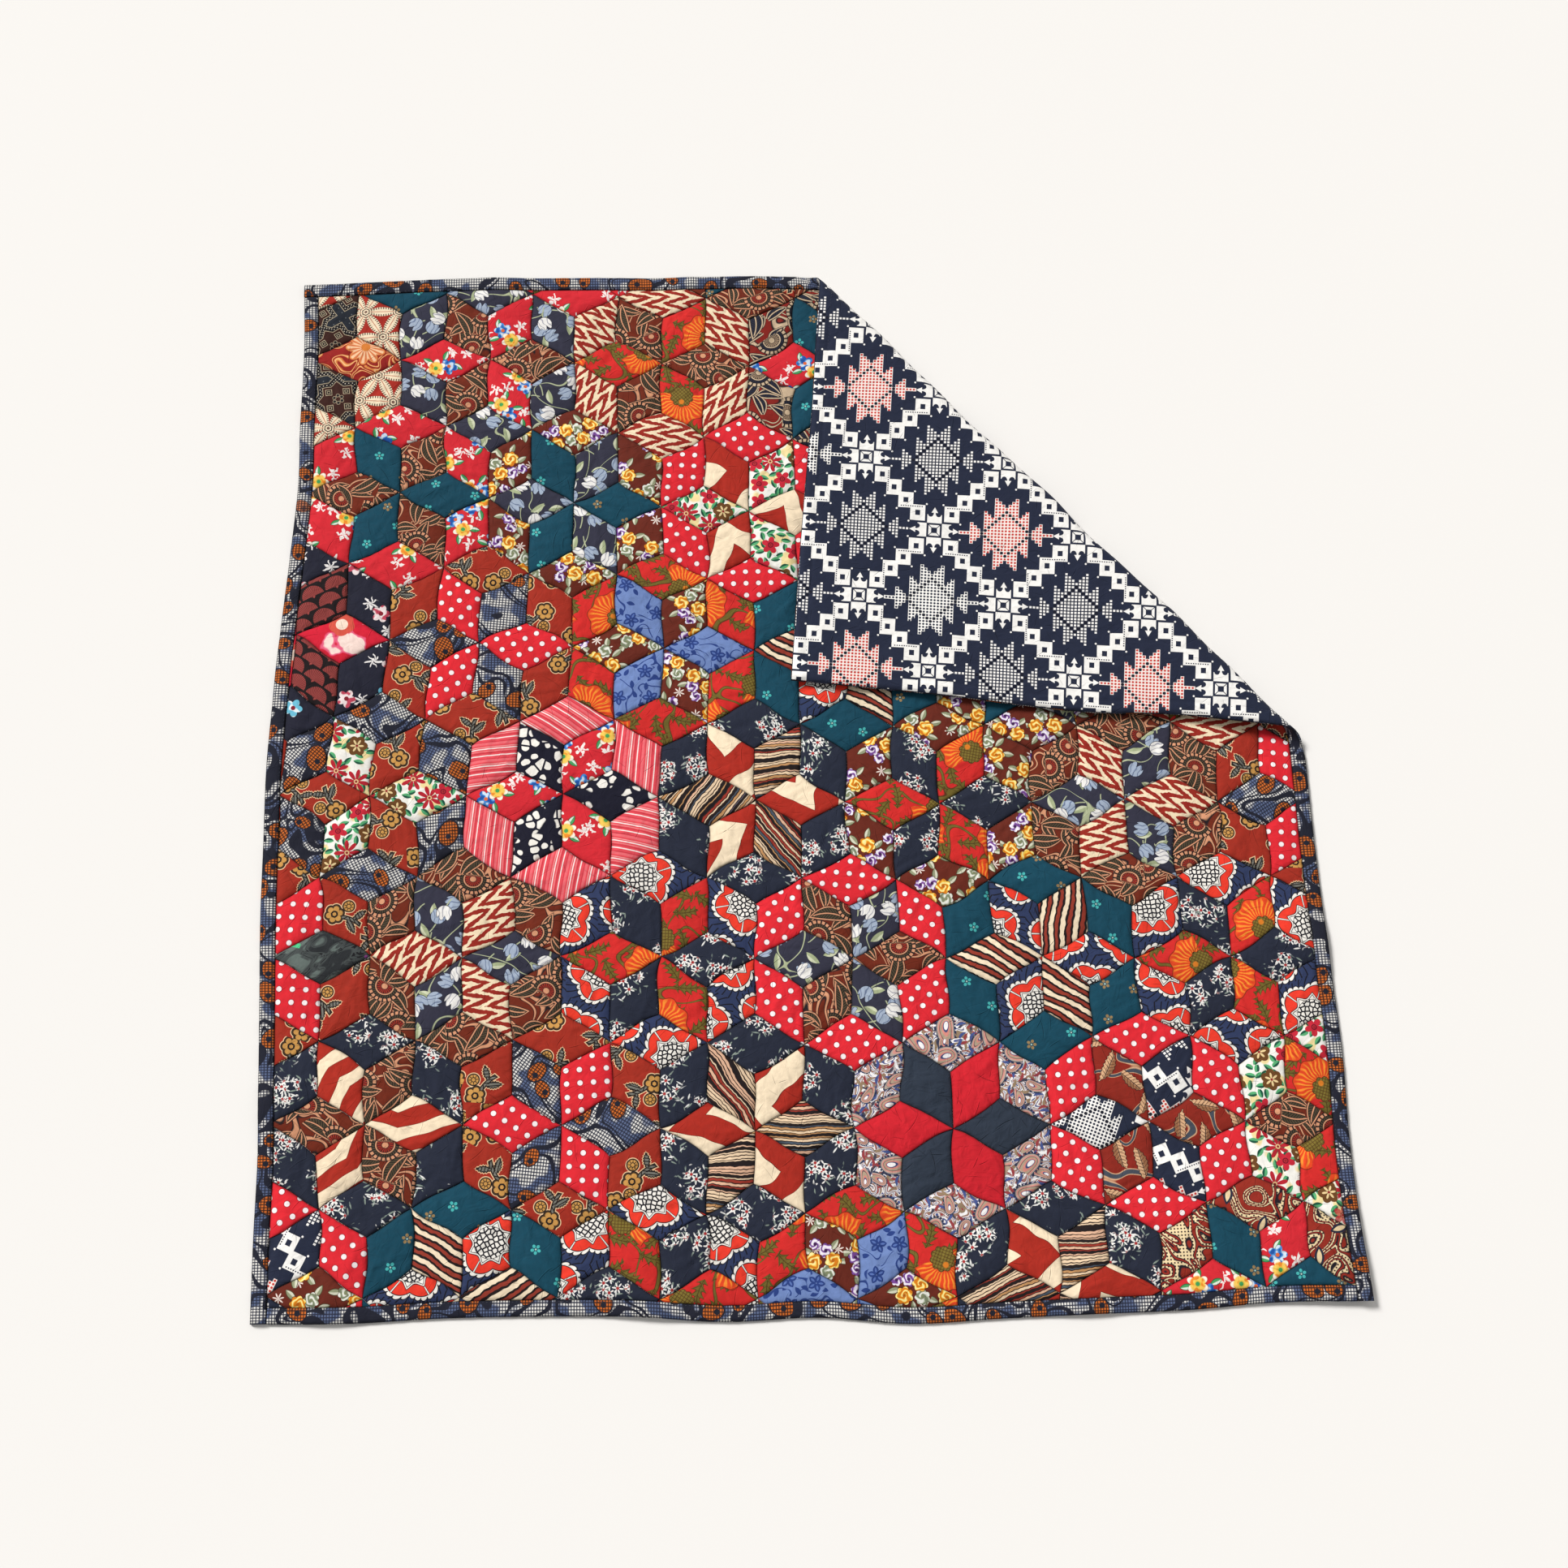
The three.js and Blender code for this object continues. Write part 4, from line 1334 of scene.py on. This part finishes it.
@printed(172, 156, 152)
def light_paisley(cloth, u, v):
    """Fine strokes and swirls in greys, blues and reds, with banded drops that have a beaded edge."""
    white, blue, tan, red = (242, 240, 240), (70, 86, 142), (146, 124, 98), (150, 62, 66)
    swirl = fract(noise(u, v, 15, 1, 1, 0.9) * 6)
    for middle, half, colour in (
        (0.08, 0.09, white), (0.3, 0.07, blue), (0.46, 0.08, white), (0.66, 0.1, tan), (0.83, 0.06, red),
    ):
        cloth.lay(near(swirl, middle, half, 0.05), colour)
    for seed, colour in enumerate(((70, 68, 82), white, tan, red, blue), 11):
        x, y, pick, *_ = sown(u, v, 10, 0.9, seed)
        cloth.rings(leaf(x, y + x * x * 0.06 - 0.6, 11, 2.7), (0, colour), soft=0.4, shown=some(pick, 0.45))
    for seed, pitch, size in ((3, 29, 0.6), (2, 40, 1.05)):
        x, y, *_ = sown(u, v, pitch, 0.5, seed)
        x, y = x + 5 * size, y + x * x * (0.02 / size) - 2 * size
        r = (reach(x, y * 1.55) + x * 0.55) / size
        cloth.rings(abs(r - 13.2), (1.3, (44, 52, 80)), shown=bars(angle(x, y) * (9 / math.pi), 0.32, 0.15))
        cloth.rings(
            r, (12.0, (50, 56, 82)), (11.0, (176, 162, 150)), (9.4, (214, 150, 138)), (7.6, (96, 70, 76)),
            (6.9, (176, 156, 134)), (4.8, (210, 136, 124)), (3.4, (58, 68, 112)), (2.5, white),
        )


@printed(138, 40, 29)
def rust_leaf(cloth, u, v):
    """A grey vine with long ribbed leaves."""
    vine = abs(noise(u, v, 36, 1, 0, 0.4) - 0.5)
    cloth.rings(vine, (0.05, (222, 178, 138)), (0.038, (70, 76, 88)), soft=0.012)
    x, y, *_ = sown(u, v, 31, 0.65, 2)
    out = leaf(x, y + x * x * 0.012, 33, 11) + abs(sine(x * 0.8)) * 1.1
    cloth.rings(out, (0.7, (42, 30, 30)), (0, blend((216, 172, 132), (150, 104, 72), above(y, 0.6, 1.4))))
    cloth.rings(abs(y), (0.4, (52, 36, 34)), shown=below(out, 0))
    cloth.lay(bars(x * 0.3 + abs(y) * 0.2, 0.1, 0.08) * below(out, -0.6), (92, 58, 46))


@printed(148, 45, 33)
def scroll(cloth, u, v):
    """Dotted cream scrolls with leaves."""
    curl = noise(u, v, 29, 1, 0, 1.3)
    cream = blend((236, 213, 168), (50, 38, 40), below(reach(repeat(u, 3.0), repeat(v, 3.0)), 0.8))
    for level, half in ((0.5, 0.036), (0.33, 0.028), (0.66, 0.028)):
        cloth.rings(abs(curl - level), (half + 0.028, (34, 30, 38)), (half, cream), soft=0.012)
    x, y, pick, *_ = sown(u, v, 31, 0.7, 2)
    cloth.rings(leaf(x, y, 18, 7.5), (0.5, (42, 44, 62)), (-1.6, (230, 206, 162)), shown=some(pick, 0.45))


@printed(166, 45, 34)
def flower_lattice(cloth, u, v):
    """Cream petals along the sides of a lattice of triangles."""
    edge, width = 33.0, 10.8
    tall = edge * math.sqrt(3) / 2
    for k in range(3):
        p, q = turned(u, v, math.radians(60 * k))
        row = rounded(q / tall)
        q = q - row * tall
        p = repeat(p + remainder(row, 2) * (edge / 2) + edge / 2, edge)
        out = leaf(p, q, edge - 0.6, width)
        cloth.rings(out, (0, (241, 223, 192)))
        cloth.rings(abs(q), (0.35, (186, 104, 76)), shown=below(abs(p), 12))
        cloth.lay(bars(p / 2.4, 0.2, 0.12) * near(out, -1.1, 1.2), BLACK)


@printed(152, 36, 33)
def orange_floral(cloth, u, v):
    """Orange curls, and large blooms with veined petals."""
    shape = noise(u, v, 19, 2, 0.5, 0.6)
    for level in (0.38, 0.5, 0.6):
        cloth.lay(near(shape, level, 0.026, 0.012), (228, 140, 74))
        cloth.lay(near(shape, level, 0.01, 0.008), (246, 196, 138))
    x, y, *_ = sown(u, v, 62, 0.5, 1)
    veined = blend((246, 200, 158), (214, 120, 72), bars(angle(x, y) * (9 / math.pi), 0.24, 0.15))
    cloth.rings(petals(x, y, 9, 14, 20), (1.4, (150, 46, 32)), (0, (226, 138, 72)), (-1.4, veined))
    cloth.rings(reach(x, y), (4.6, (214, 126, 54)))


@printed(36, 41, 50)
def black_geo(cloth, u, v):
    """Eight-pointed stars in lines and dots, with beads and small boxes in them."""
    line = (196, 180, 150)
    cloth.rings(reach(repeat(u, 7), repeat(v, 7)), (0.6, (104, 110, 112)))
    p, q = repeat(u, 47), repeat(v, 47)
    x, y = abs(p), abs(q)
    star = least(most(x, y), (x + y) * 0.7071)
    cloth.rings(star, (19.4, line), (18.9, BLACK), (14.6, line), (14.1, (60, 32, 27)))
    dots = below(reach(repeat(u + v, 3.6), repeat(u - v, 3.6)), 0.7)
    cloth.rings(abs(star - 16.8), (1.4, (226, 218, 198)), shown=dots)
    p, q = fan(p, q, 6)
    cloth.rings(reach(p - 4.2, q), (1.9, line), (1.55, BLACK))
    box = most(abs(x - 8.6), abs(y - 8.6))
    cloth.rings(abs(box - 3), (0.26, line))
    cloth.rings(box, (2.6, (30, 22, 24)))
    cloth.rings(abs(box - 1.3), (0.22, line))


@printed(37, 43, 63)
def step_star(cloth, u, v):
    """Stepped star medallions filled with dots, between stepped chains of squares that meet in crosses."""
    navy, white, dark = (37, 43, 63), (248, 246, 242), (26, 28, 42)
    wide, tall = BACK_REPEAT
    half_w, half_h = wide / 2, tall / 2
    x, y = abs(repeat(u, wide)), abs(repeat(v, tall))
    other = above(x / half_w + y / half_h, 1, 0.0001)
    x, y = mixed(x, half_w - x, other), mixed(y, half_h - y, other)
    column = mixed(rounded(u / wide), rounded_down(u / wide) + 0.5, other)
    row = mixed(rounded(v / tall), rounded_down(v / tall) + 0.5, other)
    odd = above(remainder(column + row + 0.25, 2), 1, 0.001)
    # The chain: four squares that overlap, with a hole in each, dots off the corners and two dotted lines.
    square_w, square_h = 7.4, 8.3

    def from_chain(n):
        share = 0.24 + 0.1733 * n
        return x - half_w * (1 - share), y - half_h * share

    squares = []
    for n in range(4):
        dx, dy = from_chain(n)
        squares.append(most(abs(dx) / square_w, abs(dy) / square_h))
        cloth.rings(squares[n], (1, white), soft=0.04)
        cloth.rings(reach(dx + square_w + 1.3, dy + square_h + 1.4), (0.95, white))
    for square in squares:
        cloth.rings(square, (0.33, navy), soft=0.04)
    for n, turn in ((0.5, other), (2.5, 1 - other)):
        dx, dy = from_chain(n)
        p, q = mixed(dx, dy, turn), mixed(dy, dx, turn)
        cloth.lay(near(q, 0, 0.6, 0.25) * bars(p / 2.3, 0.28, 0.12) * below(abs(p), 11.6), navy)
    # The crosses: a small broken ring, and a crown with an arrow on each side of it.
    for dx, dy in ((half_w - x, y), (x, half_h - y)):
        ring = most(abs(dx), abs(dy))
        cloth.rings(ring, (5.6, white))
        cloth.rings(abs(abs(dx) - abs(dy)), (0.55, navy), shown=below(ring, 5.9))
        cloth.rings(ring, (2.9, navy))
        for p, q in ((dx, dy), (dy, dx)):
            q = abs(q)
            crown = most(most(most(7.6 - p, q - 7.2), p - 16.6), 2.6 - reach(p - 16.8, q - 3.9))
            arrow = least(most(18.6 - p, q - (24.4 - p) * 0.55), most(abs(p - 15) - 5, q - 0.9))
            cloth.rings(least(crown, arrow), (0, white))
    # The medallion: a star of eight stepped teeth with an arm on two sides, in rows of dots.
    cx, cy = x / 3.37, y / 3.21
    kx, ky = rounded(cx), rounded(cy)
    tooth = mixed(kx + 8.45, least(kx, 6) + 1.25, some(kx, 3.5))
    body = most(cx - 6.5, cy - tooth)
    tail = most(most(6.5 - cx, cx - 10.5), cy - least(kx, 10) + 6.5)
    bar = most(abs(cx - 12.0) - 1.7, cy - 0.55)
    shape = below(least(body, least(tail, bar)), 0, 0.1)
    away = reach(cx - kx, cy - ky)
    dot = below(away, 0.34, 0.1)
    red, spots = blend((246, 232, 226), (200, 60, 52), dot), blend(white, navy, dot)
    checks = blend(navy, white, below(most(abs(cx - kx), abs(cy - ky)), 0.32, 0.1))
    cloth.lay(shape, blend(blend(red, spots, other), checks, odd))
    cloth.lay(shape * near(kx + ky, 7, 0.5, 0.01) * below(away, 0.5, 0.1), dark)


# the materials

# Plain cloths show their creases more than printed ones.
CREASED = {"plain_red": 1.6, "plain_navy": 1.6, "teal": 1.2}
YARN_PITCH = 0.75


def pressed(u, v):
    """Short straight creases pressed into the cloth, some up and some down."""
    height = 0
    for seed, pitch, length in ((31, 17, 10), (32, 26, 17)):
        x, y, pick, _, size = sown(u, v, pitch, 0.9, seed)
        fold = near(y + x * x * 0.012, 0, 0.1, 0.9) * below(abs(x), length / 2, length / 2)
        fold = fold * above(gaps(u, v, pitch, 0.9, seed), 1.2, 2.4)
        height = height + fold * (some(pick, 0.5) * 2 - 1) * size
    return height


def cotton(name):
    """Printed cotton: the print, a little wear and crumple, creases, the weave, and shade painted into the
    seams.
    """
    material = bpy.data.materials.new("cotton_" + name)
    material.use_nodes = True
    tree = material.node_tree
    tree.nodes.clear()
    DRAWING.append(tree)
    where = node_of("ShaderNodeUVMap", uv_map="print")
    parts = node_of("ShaderNodeSeparateXYZ", [(0, where.outputs[0])])
    u, v = Num(parts.outputs[0]), Num(parts.outputs[1])
    seam = Num(node_of("ShaderNodeAttribute", attribute_name="seam").outputs["Fac"])
    tone = Num(node_of("ShaderNodeAttribute", attribute_name="tone").outputs["Fac"])
    ground, draw = PRINTS[name]
    cloth = Print(ground)
    draw(cloth, u, v)
    mottle = noise(u, v, 5, 21, 3)
    # The colour is darkened near each seam and edge by the seam distance: painted shade in the seam valleys.
    shade = (mottle * 0.24 + 0.88 + tone * 0.045) * (1 - power(math.e, seam * -1.15) * 0.6)
    values = [(0, paint(cloth.colour)), ("Scale", shade)]
    colour = node_of("ShaderNodeVectorMath", values, operation="SCALE").outputs[0]
    weave = sine(u * (TURN / YARN_PITCH)) * sine(v * (TURN / YARN_PITCH))
    crumple = noise(u * 0.7, v, 9, 22, 2, 0.5)
    height = weave * 0.025 + (crumple * 1.1 + pressed(u, v) * 1.05) * CREASED.get(name, 1)
    bump = node_of("ShaderNodeBump", [("Strength", 0.8), ("Distance", MM), ("Height", height)])
    shader = node_of("ShaderNodeBsdfPrincipled", [
        ("Base Color", colour), ("Roughness", mottle * 0.2 + 0.72), ("Normal", bump.outputs[0]),
        ("Specular IOR Level", 0.13), ("Sheen Weight", 0.03), ("Sheen Roughness", 0.5),
    ])
    node_of("ShaderNodeOutputMaterial", [("Surface", shader.outputs[0])])
    DRAWING.pop()
    return material


def plain(name, colour, roughness):
    material = bpy.data.materials.new(name)
    material.use_nodes = True
    shader = material.node_tree.nodes["Principled BSDF"]
    for slot, value in (("Base Color", (*colour, 1)), ("Roughness", roughness), ("Specular IOR Level", 0.2)):
        shader.inputs[slot].default_value = value
    return material


def thread(name, colour):
    """Cotton thread, lighter and darker from place to place."""
    material = plain(name, paint(colour), 0.7)
    shader = material.node_tree.nodes["Principled BSDF"]
    shader.inputs["Sheen Weight"].default_value = 0.1
    DRAWING.append(material.node_tree)
    at = node_of("ShaderNodeTexCoord").outputs["Object"]
    worn = node_of("ShaderNodeTexNoise", [("Vector", at), ("Scale", 900.0)]).outputs[0]
    plug(shader.inputs["Base Color"], blend(colour, tuple(c + 45 for c in colour), worn))
    DRAWING.pop()
    return material


# the mat


def dress(piece, material, node=None):
    """Gives a piece its material, hangs it under the root body, and hides the part of model.glb that it
    stands for.
    """
    piece.data.materials.append(material)
    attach(piece, "root")
    if node:
        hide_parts(node)


patches, seam_lines = build_patches()
backing, backing_area = build_backing(seam_lines)
bindings = {name: build_binding(name) for name in SIDE_ORDER}
front_stitches = build_stitches("stitches_front", 3.3, 4.15, lambda past: True)
back_stitches = build_stitches("stitches_back", 0.25, -0.45, lambda past: past > 4)

cloths = {name: cotton(name) for name in sorted(patches)}
navy_thread = thread("thread_navy", (44, 48, 66))
for name, piece in patches.items():
    dress(piece, cloths[name], "pieced_top")
dress(backing, cloths["step_star"], "backing")
for name, piece in bindings.items():
    dress(piece, cloths["navy_grid"], "binding_" + name)
dress(front_stitches, navy_thread)
dress(back_stitches, navy_thread)
backing_area * MM * MM

# floor, light and camera

FLOOR_REACH, FLOOR_DROP = 40, 0.0003
ROOM_COLOUR, ROOM_STRENGTH = (1.0, 0.99, 0.975, 1), 0.4
WINDOW_PLACE, WINDOW_COLOUR, WINDOW_STRENGTH = (-1.6, 1.3, 1.7), (1.0, 0.985, 0.965), 3.55
CAMERA_PLACE, CAMERA_DEGREES, CAMERA_LENS = (-0.10913, -0.64988, 1.98213), (17.5608, -2.4684, -0.6958), 50.31

scene = bpy.context.scene
floor_mesh = bpy.data.meshes.new("floor")
floor_corners = [(x * FLOOR_REACH, y * FLOOR_REACH, 0) for x, y in ((-1, -1), (1, -1), (1, 1), (-1, 1))]
floor_mesh.from_pydata(floor_corners, [], [(0, 1, 2, 3)])
floor_mesh.materials.append(plain("floor_paint", (0.86, 0.844, 0.821), 0.8))
floor = bpy.data.objects.new("floor", floor_mesh)
floor.location.z = -FLOOR_DROP
scene.collection.objects.link(floor)

scene.world = bpy.data.worlds.new("room")
scene.world.use_nodes = True
room = scene.world.node_tree.nodes["Background"]
room.inputs["Color"].default_value = ROOM_COLOUR
room.inputs["Strength"].default_value = ROOM_STRENGTH

window = bpy.data.lights.new("window", "SUN")
window.angle = math.radians(20)
window.energy = WINDOW_STRENGTH
window.color = WINDOW_COLOUR
window_light = bpy.data.objects.new("window", window)
window_light.location = WINDOW_PLACE
window_light.rotation_mode = "QUATERNION"
window_light.rotation_quaternion = (-window_light.location).to_track_quat("-Z", "Y")
scene.collection.objects.link(window_light)

camera_data = bpy.data.cameras.new("camera")
camera_data.sensor_width, camera_data.lens = 36, CAMERA_LENS
camera = bpy.data.objects.new("camera", camera_data)
camera.location = CAMERA_PLACE
camera.rotation_euler = [math.radians(degrees) for degrees in CAMERA_DEGREES]
scene.collection.objects.link(camera)
scene.camera = camera
scene.view_settings.view_transform = "Standard"
scene.view_settings.look = "None"
